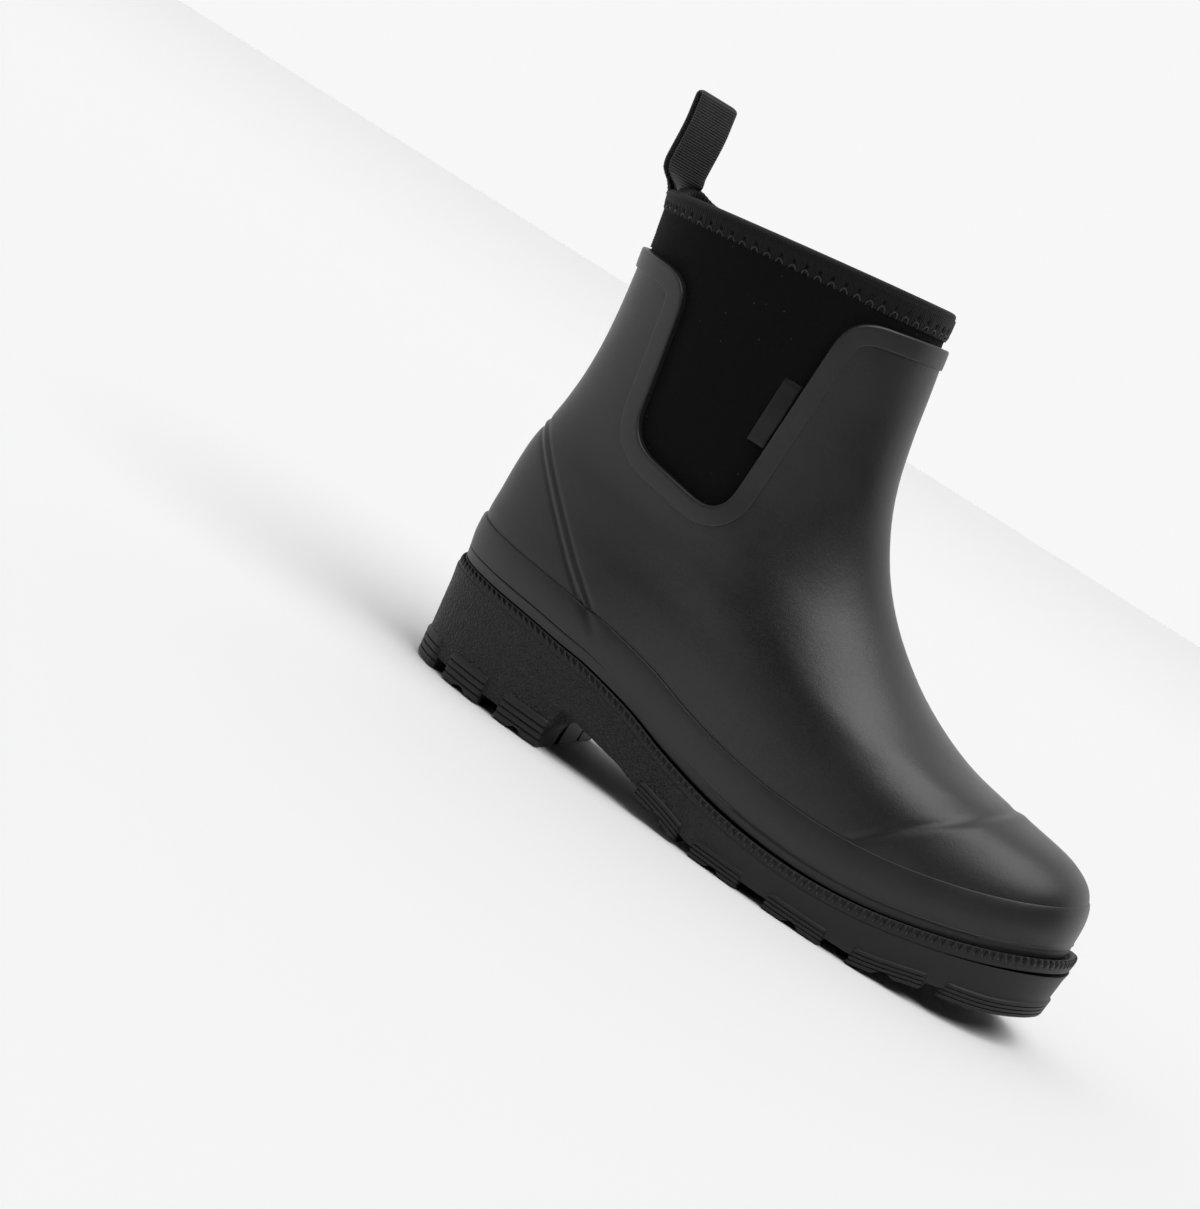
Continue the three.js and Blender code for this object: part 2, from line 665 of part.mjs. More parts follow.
// Notch in the middle of an edge lug's lower edge, on both sides of the sole
function notch({ start, end }) {
  const middle = (start + end) / 2;
  const low = treadAt(middle);
  const shape = roundedShape([
    { x: middle - notchHalf, y: low - notchDepth, r: 0 },
    { x: middle + notchHalf, y: low - notchDepth, r: 0 },
    { x: middle + notchHalf, y: low, r: 0 },
    { x: middle + notchHalf / 2, y: low + notchDepth, r: 0 },
    { x: middle - notchHalf / 2, y: low + notchDepth, r: 0 },
    { x: middle - notchHalf, y: low, r: 0 },
  ]);
  const reach = 0.31 * ballWidth;
  return joined([sidePrism(shape, -wide, -reach), sidePrism(shape, reach, wide)]);
}

// Body of the tread that the lugs are cut from: a bevelled lower edge, grooves round its side, a ledge
function treadBody() {
  const bevel = 0.07;
  const grooveWidth = 0.11;
  const levels = [[0, lugBevel], [bevel, 0]];
  [0.28, 0.50, 0.72].forEach((t) => levels.push([t, grooveDepth], [t + grooveWidth, 0]));
  levels.push([1, lugLedge]);
  const rings = levels.map(([t, cut]) => sideRing(
    (x) => treadAt(x) + t * (lugTopAt(x) + lugLedge),
    lugLedge - cut,
  ));
  return ringSolid(rings, false);
}

function makeOutsole() {
  const plate = ringSolid([sideRing(baseAt, 0), sideRing(soleTop, 0)], false);
  const heelSlab = ringSolid([sideRing(() => heelLugDepth - lugLedge, 0), sideRing(soleTop, 0)], false);
  const heel = heelSlab.intersect(toSolid(new THREE.BoxGeometry(2 * breastAt, 2 * wide, 4 * heelTop)));
  const foreLugs = FORE_LUGS.map(({ start, end }) => ({ start: start * soleLength, end: end * soleLength }));
  const prisms = [heelPad()];
  [-1, 1].forEach((side) => {
    foreLugs.forEach(({ start, end }) => prisms.push(edgeLug(start, end, side, foreLugInner, 2)));
    heelLugs.forEach(({ start, end }) => prisms.push(edgeLug(start, end, side, heelLugInner, 2)));
    heelArcs.forEach((arc) => prisms.push(heelArc(arc, side)));
  });
  foreLugs.forEach(({ start, end }) => prisms.push(chevron(start, end)));
  const notches = [...heelLugs, ...foreLugs].map(notch);
  const lugs = treadBody().intersect(joined(prisms)).subtract(joined(notches));
  return joined([plate, heel, lugs]);
}

// Materials
const finish = (color, roughness) => new THREE.MeshStandardMaterial({ color, roughness, metalness: 0 });
const rubber = finish(0x2b2b2d, 0.55);
const soleRubber = finish(0x242425, 0.75);
const neoprene = finish(0x101011, 0.95);
const knit = finish(0x161617, 0.6);

const boot = new THREE.Group();
function addPiece(name, solid, material) {
  const mesh = new THREE.Mesh(toGeometry(solid), material);
  mesh.name = name;
  boot.add(mesh);
}

addPiece('outsole', makeOutsole(), soleRubber);
addPiece('welt', makeWelt(), soleRubber);
addPiece('insole', makeInsole(), neoprene);
addPiece('upper', makeUpper(), rubber);
addPiece('rand', makeRand(), rubber);
addPiece('edge_tape', makeTape(), rubber);
addPiece('neoprene_liner', makeLiner(), neoprene);
addPiece('collar_binding', makeBinding(), knit);
addPiece('side_tag', makeTag(), rubber);
addPiece('pull_loop', makeLoop(), knit);

// The origin lies at the middle of the bounding box's bottom
const box = new THREE.Box3().setFromObject(boot);
const middle = box.getCenter(new THREE.Vector3());
boot.position.set(-middle.x, -middle.y, -box.min.z);

const part = new THREE.Group();
part.add(boot);

export default part;
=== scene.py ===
# Ankle rain boot, right foot. Sizes are in millimetres until a mesh is made, +X toe, +Y inner side, +Z up.
import math

import bpy
import numpy as np
from mathutils import Matrix, Vector


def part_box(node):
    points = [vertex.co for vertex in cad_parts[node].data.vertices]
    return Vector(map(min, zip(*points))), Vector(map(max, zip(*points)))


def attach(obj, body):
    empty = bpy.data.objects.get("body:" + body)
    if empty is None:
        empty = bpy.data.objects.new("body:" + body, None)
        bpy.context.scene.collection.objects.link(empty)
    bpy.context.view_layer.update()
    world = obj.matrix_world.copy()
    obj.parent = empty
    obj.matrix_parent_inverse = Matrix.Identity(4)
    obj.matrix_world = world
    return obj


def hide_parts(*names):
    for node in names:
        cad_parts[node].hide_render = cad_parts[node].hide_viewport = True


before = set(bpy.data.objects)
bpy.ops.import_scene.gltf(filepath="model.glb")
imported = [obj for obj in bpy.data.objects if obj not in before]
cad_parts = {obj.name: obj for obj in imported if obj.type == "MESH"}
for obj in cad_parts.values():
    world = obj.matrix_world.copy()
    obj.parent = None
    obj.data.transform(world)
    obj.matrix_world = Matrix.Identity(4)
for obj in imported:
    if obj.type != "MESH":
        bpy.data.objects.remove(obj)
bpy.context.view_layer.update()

MM = 0.001

# Driving sizes of the last and the sole, the same as the model's
SOLE_LENGTH = 288
BALL_WIDTH = 106
HEEL_TOP = 43
BALL_TOP = 17.4
TOE_TOP = 38.5
INSTEP_HEIGHT = 103.5
COLLAR_FRONT = 221.5
COLLAR_BACK = 204.5
CLEARANCE = 0.3
RUBBER_WALL = 2
LINER_WALL = 3.5
RAND_THICKNESS = 1.7
BINDING_THICKNESS = 1.7
CAP_STEP = 0.7
GORE_BACK = 38
GORE_BACK_LOW = 45
GORE_FRONT = 94
GORE_FRONT_LOW = 91
GORE_BOTTOM = 114
GORE_CORNER = 13
BACK_STRIP_DROP = 23.5
FRONT_STRIP_DROP = 14
FRONT_STRIP_WIDTH = 28
FRONT_STRIP_RISE = 8
TAG_RISE = 28
TAG_LENGTH = 27
TAG_WIDTH = 7.5
TAG_THICKNESS = 1.2
WEB_WIDTH = 20
WEB_THICKNESS = 1.6
LOOP_RISE = 39
LOOP_LEAN = 6
LOOP_TWIST = math.radians(33)
TAIL_SHOWN = 22.5
LOOP_INSIDE = 12
LOOP_BEND = 1.7
LOOP_AHEAD = 1.9
WEB_RIB = 1.0
WEB_RIB_HEIGHT = 0.26
WEB_THINNING = 0.22
WELT_REACH_HEEL = 3.4
WELT_REACH_TOE = 6.2
WELT_THICKNESS = 3.4
SHANK_HEIGHT = 17.7
BREAST_AT = 78
HEEL_LUGS = [(28, 48), (56, 78)]
HEEL_LUG_INNER = 17
FORE_LUG_INNER = 19
PAD_HALF = 12
PAD_CENTRE = 42
HEEL_ARCS = [(15, 18), (20.5, 25.5), (28, 60)]
LUG_DEPTH = 6.5
HEEL_LUG_DEPTH = 11
ARCH_LIFT = 12.2
TOE_SPRING = 16.5
SIDE_STEP = 0.5
LUG_LEDGE = 0.9
SIDE_SLOPE = 0.07
HEEL_RAKE = 0.065

RAND_LEVEL = 0.10
BINDING_LEVEL = 0.96
LINER_REACH = -RUBBER_WALL - CLEARANCE
LINER_INSIDE = LINER_REACH - LINER_WALL

# Height of the feather line along the sole, as shares of the rise to the heel and to the toe
FEATHER = {
    "at": [0.00, 0.03, 0.09, 0.17, 0.23, 0.27, 0.35, 0.42, 0.50, 0.58, 0.66, 0.74, 0.82, 0.90, 1.00],
    "heel": [1.000, 0.941, 0.895, 0.844, 0.777, 0.734, 0.547, 0.309, 0.117, 0.020, 0, 0, 0, 0, 0],
    "toe": [0, 0, 0, 0, 0, 0, 0, 0, 0, 0, 0, 0.085, 0.280, 0.550, 1.000],
}

# Rings of the last from the feather line to the collar, the same as the model's: one place in each list
# for each ring, in shares of the named sizes
RINGS = {
    "level": [0.00, 0.10, 0.18, 0.26, 0.34, 0.42, 0.50, 0.58, 0.66, 0.74, 0.82, 0.90, 1.00],
    "back": [0.0250, 0.0132, 0.0111, 0.0097, 0.0111, 0.0174, 0.0229, 0.0264, 0.0257, 0.0215, 0.0153,
             0.0076, -0.0069],
    "front": [0.9790, 0.9705, 0.9306, 0.8472, 0.7500, 0.6632, 0.5903, 0.5365, 0.4983, 0.4722, 0.4542,
              0.4392, 0.4180],
    "rise": [0, 0.1115, 0.186, 0.254, 0.322, 0.384, 0.452, 0.532, 0.613, 0.697, 0.780, 0.870, 1],
    "instep": [0, 0.330, 0.469, 0.535, 0.615, 0.777, 1, 1, 1, 1, 1, 1, 1],
    "shaft": [0, 0, 0, 0, 0, 0, 0, 0.131, 0.271, 0.415, 0.576, 0.758, 1],
    "half": [0.896, 0.902, 0.872, 0.823, 0.774, 0.736, 0.717, 0.708, 0.717, 0.736, 0.764, 0.792, 0.821],
    "widest": [0.66, 0.66, 0.64, 0.62, 0.59, 0.56, 0.52, 0.50, 0.50, 0.50, 0.50, 0.50, 0.50],
    "rear": [2.6, 2.6, 2.5, 2.4, 2.3, 2.2, 2.1, 2.1, 2.1, 2.1, 2.1, 2.1, 2.1],
    "fore": [2.4, 2.4, 2.3, 2.2, 2.1, 2.1, 2.0, 2.0, 2.0, 2.0, 2.0, 2.0, 2.0],
    "outer": [0.17, 0.13, 0.09, 0.06, 0.03, 0.01, 0, 0, 0, 0, 0, 0, 0],
    "inner": [0.36, 0.26, 0.17, 0.10, 0.05, 0.02, 0, 0, 0, 0, 0, 0, 0],
    "swing": [0.066, 0.066, 0.061, 0.057, 0.047, 0.038, 0.028, 0.019, 0.009, 0, 0, 0, 0],
    "follow": [1, 1, 0.85, 0.60, 0.35, 0.15, 0, 0, 0, 0, 0, 0, 0],
    "sag": [0, 0.019, 0.014, 0.008, 0, 0, 0, 0, 0, 0, 0, 0, 0],
}

# Underside of the tread: height as shares of the arch's lift and of the toe spring
TREAD = {
    "at": [0.370, 0.420, 0.470, 0.520, 0.760, 0.865, 0.930, 0.975, 1.000],
    "arch": [0.60, 0.50, 0.26, 0, 0, 0, 0, 0, 0],
    "spring": [0, 0, 0, 0, 0, 0.37, 0.57, 0.84, 1.00],
}

# Lugs of the forefoot: start and end along the sole, shares of its length
FORE_LUGS = [(0.416, 0.497), (0.520, 0.600), (0.640, 0.730), (0.768, 0.864), (0.884, 1.010)]


# The last's surface
def column(table, name, x, key):
    """Value of one column of a table at x, by cubic pieces through its rows."""
    keys = np.asarray(table[key], float)
    values = np.asarray(table[name], float)
    x = np.asarray(x, float)
    slopes = np.empty_like(values)
    slopes[1:-1] = (values[2:] - values[:-2]) / (keys[2:] - keys[:-2])
    slopes[0] = (values[1] - values[0]) / (keys[1] - keys[0])
    slopes[-1] = (values[-1] - values[-2]) / (keys[-1] - keys[-2])
    i = np.clip(np.searchsorted(keys, x) - 1, 0, len(keys) - 2)
    h = keys[i + 1] - keys[i]
    t = (x - keys[i]) / h
    u = 1 - t
    return (values[i] * u * u * (1 + 2 * t) + values[i + 1] * t * t * (3 - 2 * t)
            + h * t * u * (slopes[i] * u - slopes[i + 1] * t))


def share(x):
    return np.clip(np.asarray(x, float) / SOLE_LENGTH, 0, 1)


def smooth(x, low, high):
    """Smooth step from 0 at low to 1 at high."""
    t = np.clip((np.asarray(x, float) - low) / (high - low), 0, 1)
    return t * t * (3 - 2 * t)


def lerp(a, b, t):
    return a + (b - a) * t


def bump(x, middle, width):
    """Soft ridge of height 1 at the middle."""
    return np.exp(-(((np.asarray(x, float) - middle) / width) ** 2))


def unit(v):
    return v / np.maximum(np.linalg.norm(v, axis=-1, keepdims=True), 1e-12)


def feather_at(x):
    s = share(x)
    return (BALL_TOP + (HEEL_TOP - BALL_TOP) * column(FEATHER, "heel", s, "at")
            + (TOE_TOP - BALL_TOP) * column(FEATHER, "toe", s, "at"))


def last_point(level, angle):
    """Point of the last: level 0 feather line to 1 collar; angle 0 back, 90 degrees outer side, 180 toe."""
    level, angle = np.broadcast_arrays(np.asarray(level, float), np.asarray(angle, float))
    ring = {name: column(RINGS, name, level, "level") for name in RINGS if name != "level"}
    cosine = np.cos(angle)
    outer_side = np.sin(angle) > 0
    along = np.minimum(np.abs(cosine), 1)
    power = np.where(cosine > 0, ring["rear"], ring["fore"])
    width = (1 - along ** power) ** (1 / power) * np.where(outer_side, 1, -1)
    widest = ring["widest"]
    s = np.where(cosine > 0, widest - widest * along, widest + (1 - widest) * along)
    waist = np.where(outer_side, ring["outer"], ring["inner"]) * bump(s, 0.40, 0.17)
    back = ring["back"] * SOLE_LENGTH
    front = ring["front"] * SOLE_LENGTH
    back_z = HEEL_TOP + ring["rise"] * (COLLAR_BACK - HEEL_TOP)
    front_z = (TOE_TOP + ring["instep"] * (INSTEP_HEIGHT - TOE_TOP)
               + ring["shaft"] * (COLLAR_FRONT - INSTEP_HEIGHT))
    x = back + (front - back) * s
    turn = ring["swing"] * BALL_WIDTH * np.clip((s - 0.35) / 0.65, 0, 1) ** 1.5
    y = -ring["half"] * (BALL_WIDTH / 2) * width * (1 - waist) + turn
    chord = lerp(feather_at(back), feather_at(front), s)
    hang = ring["sag"] * BALL_WIDTH * np.abs(width)
    z = lerp(back_z, front_z, s) + ring["follow"] * (feather_at(x) - chord) - hang
    return np.stack([x, y, z], -1)


def skin(level, angle, reach):
    """The same point moved out along the surface's normal, level near the feather line."""
    step = 0.004
    level, angle, reach = np.broadcast_arrays(
        np.asarray(level, float), np.asarray(angle, float), np.asarray(reach, float))
    p = last_point(level, angle)
    around = last_point(level, angle + step) - last_point(level, angle - step)
    climb = (last_point(np.minimum(level + step, 1), angle)
             - last_point(np.maximum(level - step, 0), angle))
    lift = np.clip(level / RAND_LEVEL, 0, 1)
    normal = unit(np.cross(around, climb))
    normal[..., 2] *= lift
    q = p + unit(normal) * reach[..., None]
    q[..., 2] += (1 - lift) * (feather_at(q[..., 0]) - feather_at(p[..., 0]))
    return q


# The model's origin lies at the middle of its box's bottom; the rand and the pull loop give its place
def find_origin():
    levels = np.array([0, 0.05, RAND_LEVEL])
    toe = skin(levels, math.pi, CLEARANCE + RAND_THICKNESS)[:, 0].max()
    loop_low, loop_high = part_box("pull_loop")
    return np.array([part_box("rand")[1][0] / MM - toe, (loop_low[1] + loop_high[1]) / 2 / MM, 0])


ORIGIN = find_origin()


# Meshes
def add_mesh(name, points, faces, material, uv=None, smooth_angle=40):
    mesh = bpy.data.meshes.new(name)
    mesh.from_pydata(((np.asarray(points) + ORIGIN) * MM).tolist(), [], np.asarray(faces).tolist()
                     if isinstance(faces, np.ndarray) else faces)
    if uv is not None:
        layer = mesh.uv_layers.new(name="UVMap")
        index = np.empty(len(mesh.loops), np.int32)
        mesh.loops.foreach_get("vertex_index", index)
        layer.data.foreach_set("uv", np.asarray(uv, float)[index].ravel())
    mesh.polygons.foreach_set("use_smooth", [True] * len(mesh.polygons))
    mesh.update()
    if smooth_angle:
        mesh.set_sharp_from_angle(angle=math.radians(smooth_angle))
    mesh.materials.append(material)
    piece = bpy.data.objects.new(name, mesh)
    bpy.context.scene.collection.objects.link(piece)
    return piece


def grid_faces(rows, columns, around=True, start=0, flip=False):
    """Four-sided faces of a grid of rows by columns, closed round the columns or not."""
    r, c = np.meshgrid(np.arange(rows - 1), np.arange(columns if around else columns - 1), indexing="ij")
    nxt = (c + 1) % columns
    quads = np.stack([r * columns + c, r * columns + nxt, (r + 1) * columns + nxt, (r + 1) * columns + c], -1)
    quads = quads.reshape(-1, 4) + start
    return quads[:, ::-1] if flip else quads


def round_angles(count):
    """Evenly spaced angles round the last."""
    return np.arange(count) * 2 * math.pi / count


def even_angles(level, count, reach=0):
    """Angles that place their points evenly round a ring, starting at the back."""
    fine = np.linspace(0, 2 * math.pi, 2001)
    ring = skin(level, fine, reach)
    run = np.concatenate([[0], np.cumsum(np.linalg.norm(np.diff(ring, axis=0), axis=1))])
    return np.interp(np.arange(count) / count * run[-1], run, fine), run[-1]


def spread_angles(level, count, weight):
    """Angles round a ring whose points lie closer together where weight(x) is larger."""
    fine = np.linspace(0, 2 * math.pi, 4001)
    ring = last_point(level, fine)
    step = np.linalg.norm(np.diff(ring, axis=0), axis=1) * weight((ring[1:, 0] + ring[:-1, 0]) / 2)
    run = np.concatenate([[0], np.cumsum(step)])
    return np.interp(np.arange(count) / count * run[-1], run, fine)


def finish_piece(piece, slot, *nodes):
    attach(piece, "root")
    if nodes:
        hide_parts(*nodes)
    return piece


# Materials
class Nodes:
    """Shorthand for a material's node tree."""

    def __init__(self, name):
        self.material = bpy.data.materials.new(name)
        self.material.use_nodes = True
        self.tree = self.material.node_tree
        self.shader = self.tree.nodes["Principled BSDF"]
        self.place = self.add("ShaderNodeTexCoord").outputs["Object"]
        self.uv = self.tree.nodes["Texture Coordinate"].outputs["UV"]

    def add(self, kind, **settings):
        node = self.tree.nodes.new(kind)
        for key, value in settings.items():
            setattr(node, key, value)
        return node

    def link(self, source, target):
        self.tree.links.new(source, target)

    def put(self, socket, value):
        """Sets a number on a socket, or links an output to it."""
        if isinstance(value, (int, float)):
            socket.default_value = value
        elif value is not None:
            self.link(value, socket)

    def noise(self, scale, detail=3, roughness=0.55, kind="Fac"):
        node = self.add("ShaderNodeTexNoise")
        node.inputs["Scale"].default_value = scale
        node.inputs["Detail"].default_value = detail
        node.inputs["Roughness"].default_value = roughness
        self.link(self.place, node.inputs["Vector"])
        return node.outputs[kind]

    def cells(self, scale, vector=None):
        node = self.add("ShaderNodeTexVoronoi", feature="F1")
        node.inputs["Scale"].default_value = scale
        self.link(vector or self.place, node.inputs["Vector"])
        return node.outputs

    def math(self, operation, a, b=None, clamp=False):
        node = self.add("ShaderNodeMath", operation=operation, use_clamp=clamp)
        self.put(node.inputs[0], a)
        self.put(node.inputs[1], b)
        return node.outputs[0]

    def ramp(self, value, low, high, to_low=0.0, to_high=1.0):
        node = self.add("ShaderNodeMapRange", clamp=True)
        self.link(value, node.inputs["Value"])
        for name, number in (("From Min", low), ("From Max", high), ("To Min", to_low), ("To Max", to_high)):
            node.inputs[name].default_value = number
        return node.outputs["Result"]

    def mix(self, value, low, high):
        node = self.add("ShaderNodeMix", data_type="RGBA")
        self.link(value, node.inputs["Factor"])
        node.inputs["A"].default_value = (*low, 1)
        node.inputs["B"].default_value = (*high, 1)
        return node.outputs["Result"]

    def part(self, axis, vector=None):
        """One coordinate of a vector, or else of the point's place."""
        node = self.add("ShaderNodeSeparateXYZ")
        self.link(vector or self.place, node.inputs[0])
        return node.outputs[axis]

    def relief(self, height, distance, strength=1.0, after=None):
        node = self.add("ShaderNodeBump")
        node.inputs["Strength"].default_value = strength
        node.inputs["Distance"].default_value = distance
        self.link(height, node.inputs["Height"])
        if after is not None:
            self.link(after, node.inputs["Normal"])
        return node.outputs["Normal"]

    def specks(self, scale, size, rarity):
        """Sparse soft dots: 1 at their middles, 0 between them."""
        dots = self.cells(scale)
        chosen = self.math("GREATER_THAN", self.part("X", dots["Color"]), rarity)
        return self.math("MULTIPLY", self.ramp(dots["Distance"], size / 2, size, 1.0, 0.0), chosen)

    def bands(self):
        """One soft rib for each unit of the first texture coordinate."""
        wave = self.math("COSINE", self.math("MULTIPLY", self.part("X", self.uv), 2 * math.pi))
        return self.ramp(wave, -1.0, 1.0)

    def done(self, color=None, roughness=None, normal=None, **constants):
        """Fills the shader's sockets and gives the material; constants are numbers set on the shader."""
        for name, value in (("Base Color", color), ("Roughness", roughness), ("Normal", normal)):
            self.put(self.shader.inputs[name], value)
        for name, value in constants.items():
            self.shader.inputs[name.replace("_", " ").title().replace("Ior", "IOR")].default_value = value
        return self.material


def upper_rubber(name, shade, gloss):
    """Rubber of the upper: shade scales its colour, gloss is its specular level."""
    m = Nodes(name)
    cloud = m.noise(18, 4)
    dust = m.noise(900, 2)
    fine = m.noise(2600, 2)
    color = m.mix(m.math("ADD", m.ramp(cloud, 0.3, 0.7, 0, 0.5), m.specks(300, 0.10, 0.8)),
                  [shade * part for part in (0.0050, 0.0050, 0.0052)],
                  [shade * part for part in (0.0150, 0.0150, 0.0153)])
    roughness = m.ramp(m.math("ADD", m.math("MULTIPLY", cloud, 0.7), m.math("MULTIPLY", dust, 0.3)),
                       0.35, 0.65, 0.37, 0.48)
    soft = m.relief(m.noise(70, 3), 0.0006, 0.20)
    grain = m.relief(m.noise(700, 2), 0.00006, 0.7, soft)
    normal = m.relief(fine, 0.00006, 0.8, grain)
    return m.done(color, roughness, normal, specular_ior_level=gloss)


def sole_rubber(name, sides, below):
    """Rubber of the sole with a leathery pebble on its sides toward the heel, or on what faces down."""
    m = Nodes(name)
    cloud = m.noise(25, 3)
    color = m.mix(m.ramp(cloud, 0.3, 0.7), (0.0055, 0.0055, 0.0057), (0.0100, 0.0100, 0.0103))
    roughness = m.ramp(cloud, 0.3, 0.7, 0.50, 0.60)
    normal = m.relief(m.noise(2200, 2), 0.00004, 0.6)
    if sides or below:
        wander = m.noise(420, 2, kind="Color")
        bend = m.add("ShaderNodeVectorMath", operation="MULTIPLY_ADD")
        m.link(wander, bend.inputs[0])
        bend.inputs[1].default_value = (0.0016, 0.0016, 0.0016)
        m.link(m.place, bend.inputs[2])
        grain = m.ramp(m.cells(900, bend.outputs[0])["Distance"], 0.10, 0.70, 1.0, 0.0)
        if sides:
            mask = m.ramp(m.part("X"), -0.015, 0.030, 1.0, 0.0)
        else:
            facing = m.tree.nodes["Texture Coordinate"].outputs["Normal"]
            mask = m.ramp(m.part("Z", facing), -0.9, -0.6, 1.0, 0.0)
        normal = m.relief(m.math("MULTIPLY", grain, mask), 0.00070, 1.0, normal)
    return m.done(color, roughness, normal, specular_ior_level=0.42)


def neoprene():
    """Near-black felted face with sparse lint."""
    m = Nodes("neoprene")
    felt = m.noise(1500, 4, 0.7)
    lint = m.specks(260, 0.09, 0.62)
    color = m.mix(m.math("ADD", m.math("MULTIPLY", felt, 0.10), lint, True),
                  (0.0014, 0.0014, 0.0015), (0.050, 0.050, 0.052))
    soft = m.relief(m.noise(90, 3), 0.0008, 0.25)
    normal = m.relief(felt, 0.0003, 0.8, soft)
    return m.done(color, 0.92, normal, specular_ior_level=0.10, sheen_weight=0.04, sheen_roughness=0.5)


def knit():
    """Ribbed knit of the binding, one rib to each unit along its texture, with painted shade in the valleys
    between the ribs.
    """
    m = Nodes("knit")
    ribs = m.bands()
    # Painted shade: the colour darkens in the valleys between the ribs.
    color = m.mix(ribs, (0.0012, 0.0012, 0.0013), (0.0045, 0.0045, 0.0047))
    fluff = m.relief(m.noise(1800, 3), 0.0001, 0.6)
    normal = m.relief(ribs, 0.00022, 0.9, fluff)
    return m.done(color, 0.66, normal, specular_ior_level=0.22, sheen_weight=0.03, sheen_roughness=0.4)


def webbing():
    """Webbing with painted shade: its colour is darker in the valleys between the ribs than on the ribs."""
    m = Nodes("webbing")
    fluff = m.noise(2200, 3)
    ribs = m.bands()
    # Painted shade: the colour runs dark in the valleys between the ribs and light on their crests.
    color = m.mix(m.math("MULTIPLY", ribs, m.ramp(fluff, 0.3, 0.7, 0.6, 1.0)),
                  (0.005, 0.005, 0.0055), (0.034, 0.034, 0.036))
    normal = m.relief(fluff, 0.0002, 0.8)
    return m.done(color, 0.7, normal, specular_ior_level=0.35, sheen_weight=0.2, sheen_roughness=0.5)


def thread():
    """Twisted sewing thread."""
    m = Nodes("thread")
    twist = m.noise(3000, 2)
    color = m.mix(twist, (0.004, 0.004, 0.0042), (0.014, 0.014, 0.015))
    return m.done(color, 0.55, m.relief(twist, 0.0001, 0.8), sheen_weight=0.2, sheen_roughness=0.5)


RUBBER = upper_rubber("upper_rubber", 1.0, 0.60)
TAG_RUBBER = upper_rubber("tag_rubber", 0.6, 0.32)
SOLE = sole_rubber("sole_rubber", True, False)
LUGS = sole_rubber("lug_rubber", False, True)
WELT = sole_rubber("welt_rubber", False, False)
NEOPRENE = neoprene()
KNIT = knit()
WEBBING = webbing()
THREAD = thread()


# Side outline of the elastic panel's window and the strips above it
CORNER_LOW = GORE_BOTTOM - 3
CORNER_HIGH = COLLAR_FRONT - FRONT_STRIP_DROP - 6
BACK_STRIP_TOP = COLLAR_BACK - BACK_STRIP_DROP
FRONT_STRIP_TOP = COLLAR_FRONT - FRONT_STRIP_DROP


def window_front_at(z):
    return lerp(GORE_FRONT_LOW, GORE_FRONT, (z - CORNER_LOW) / (CORNER_HIGH - CORNER_LOW))


def window_outline():
    beyond = SOLE_LENGTH / 2
    slope = (FRONT_STRIP_TOP - BACK_STRIP_TOP) / SOLE_LENGTH
    corners = [
        (-beyond, BACK_STRIP_TOP - beyond * slope * 0.1, 0),
        (GORE_BACK - 4, BACK_STRIP_TOP, GORE_CORNER),
        (GORE_BACK_LOW, GORE_BOTTOM + 4, GORE_CORNER),
        (GORE_FRONT_LOW, CORNER_LOW, GORE_CORNER),
        (GORE_FRONT, CORNER_HIGH, GORE_CORNER),
        (GORE_FRONT + FRONT_STRIP_WIDTH, FRONT_STRIP_TOP, 0),
        (GORE_FRONT + beyond, FRONT_STRIP_TOP + FRONT_STRIP_RISE, 0),
    ]
    points = []
    for i, (x, z, radius) in enumerate(corners):
        here = np.array([x, z], float)
        if radius == 0:
            points.append(here)
            continue
        enter = here + unit(np.array(corners[i - 1][:2]) - here) * radius
        leave = here + unit(np.array(corners[i + 1][:2]) - here) * radius
        for t in np.linspace(0, 1, 9):
            points.append((1 - t) ** 2 * enter + 2 * t * (1 - t) * here + t * t * leave)
    return np.array(points)


WINDOW = window_outline()


def from_line(x, z, line):
    """Signed distance in side view from a line of points; above or to the left of it is positive."""
    p = np.stack([np.asarray(x, float), np.asarray(z, float)], -1)
    best = np.full(p.shape[:-1], 1e9)
    signed = np.zeros(p.shape[:-1])
    for a, b in zip(line[:-1], line[1:]):
        run = b - a
        t = np.clip(((p - a) @ run) / (run @ run), 0, 1)
        away = p - (a + t[..., None] * run)
        distance = np.linalg.norm(away, axis=-1)
        side = np.sign(run[0] * (p - a)[..., 1] - run[1] * (p - a)[..., 0])
        near = distance < best - 1e-9
        best = np.where(near, distance, best)
        signed = np.where(near, side * distance, signed)
    return signed


def window_depth(level, angle):
    """How far a point of the last lies inside the window, in side view."""
    p = last_point(level, angle)
    return from_line(p[..., 0], p[..., 2], WINDOW)


def trim_path(spacing=1.6):
    """Closed run of (level, angle) round the boot along the window's edge, starting at the back."""
    eps = 1e-4
    level, angle = 0.90, 0.0
    path = []
    for _ in range(1200):
        for _ in range(4):
            depth = float(window_depth(level, angle))
            by_level = (float(window_depth(level + eps, angle)) - depth) / eps
            by_angle = (float(window_depth(level, angle + eps)) - depth) / eps
            scale = 120.0 ** 2
            weight = by_level ** 2 + by_angle ** 2 * scale / 45.0 ** 2 / 7
            if not path:
                level -= depth / by_level
                continue
            level -= depth * by_level / weight
            angle -= depth * by_angle * (scale / 45.0 ** 2 / 7) / weight
        path.append((level, angle))
        p = last_point(level, angle)
        d_level = (last_point(level + eps, angle) - p) / eps
        d_angle = (last_point(level, angle + eps) - p) / eps
        run = d_level * (-by_angle) + d_angle * by_level
        size = spacing / np.linalg.norm(run)
        level -= by_angle * size
        angle += by_level * size
        if angle > math.pi:
            break
    half = np.array(path)
    other = half[1:][::-1].copy()
    other[:, 1] = 2 * math.pi - other[:, 1]
    return np.concatenate([half, other])


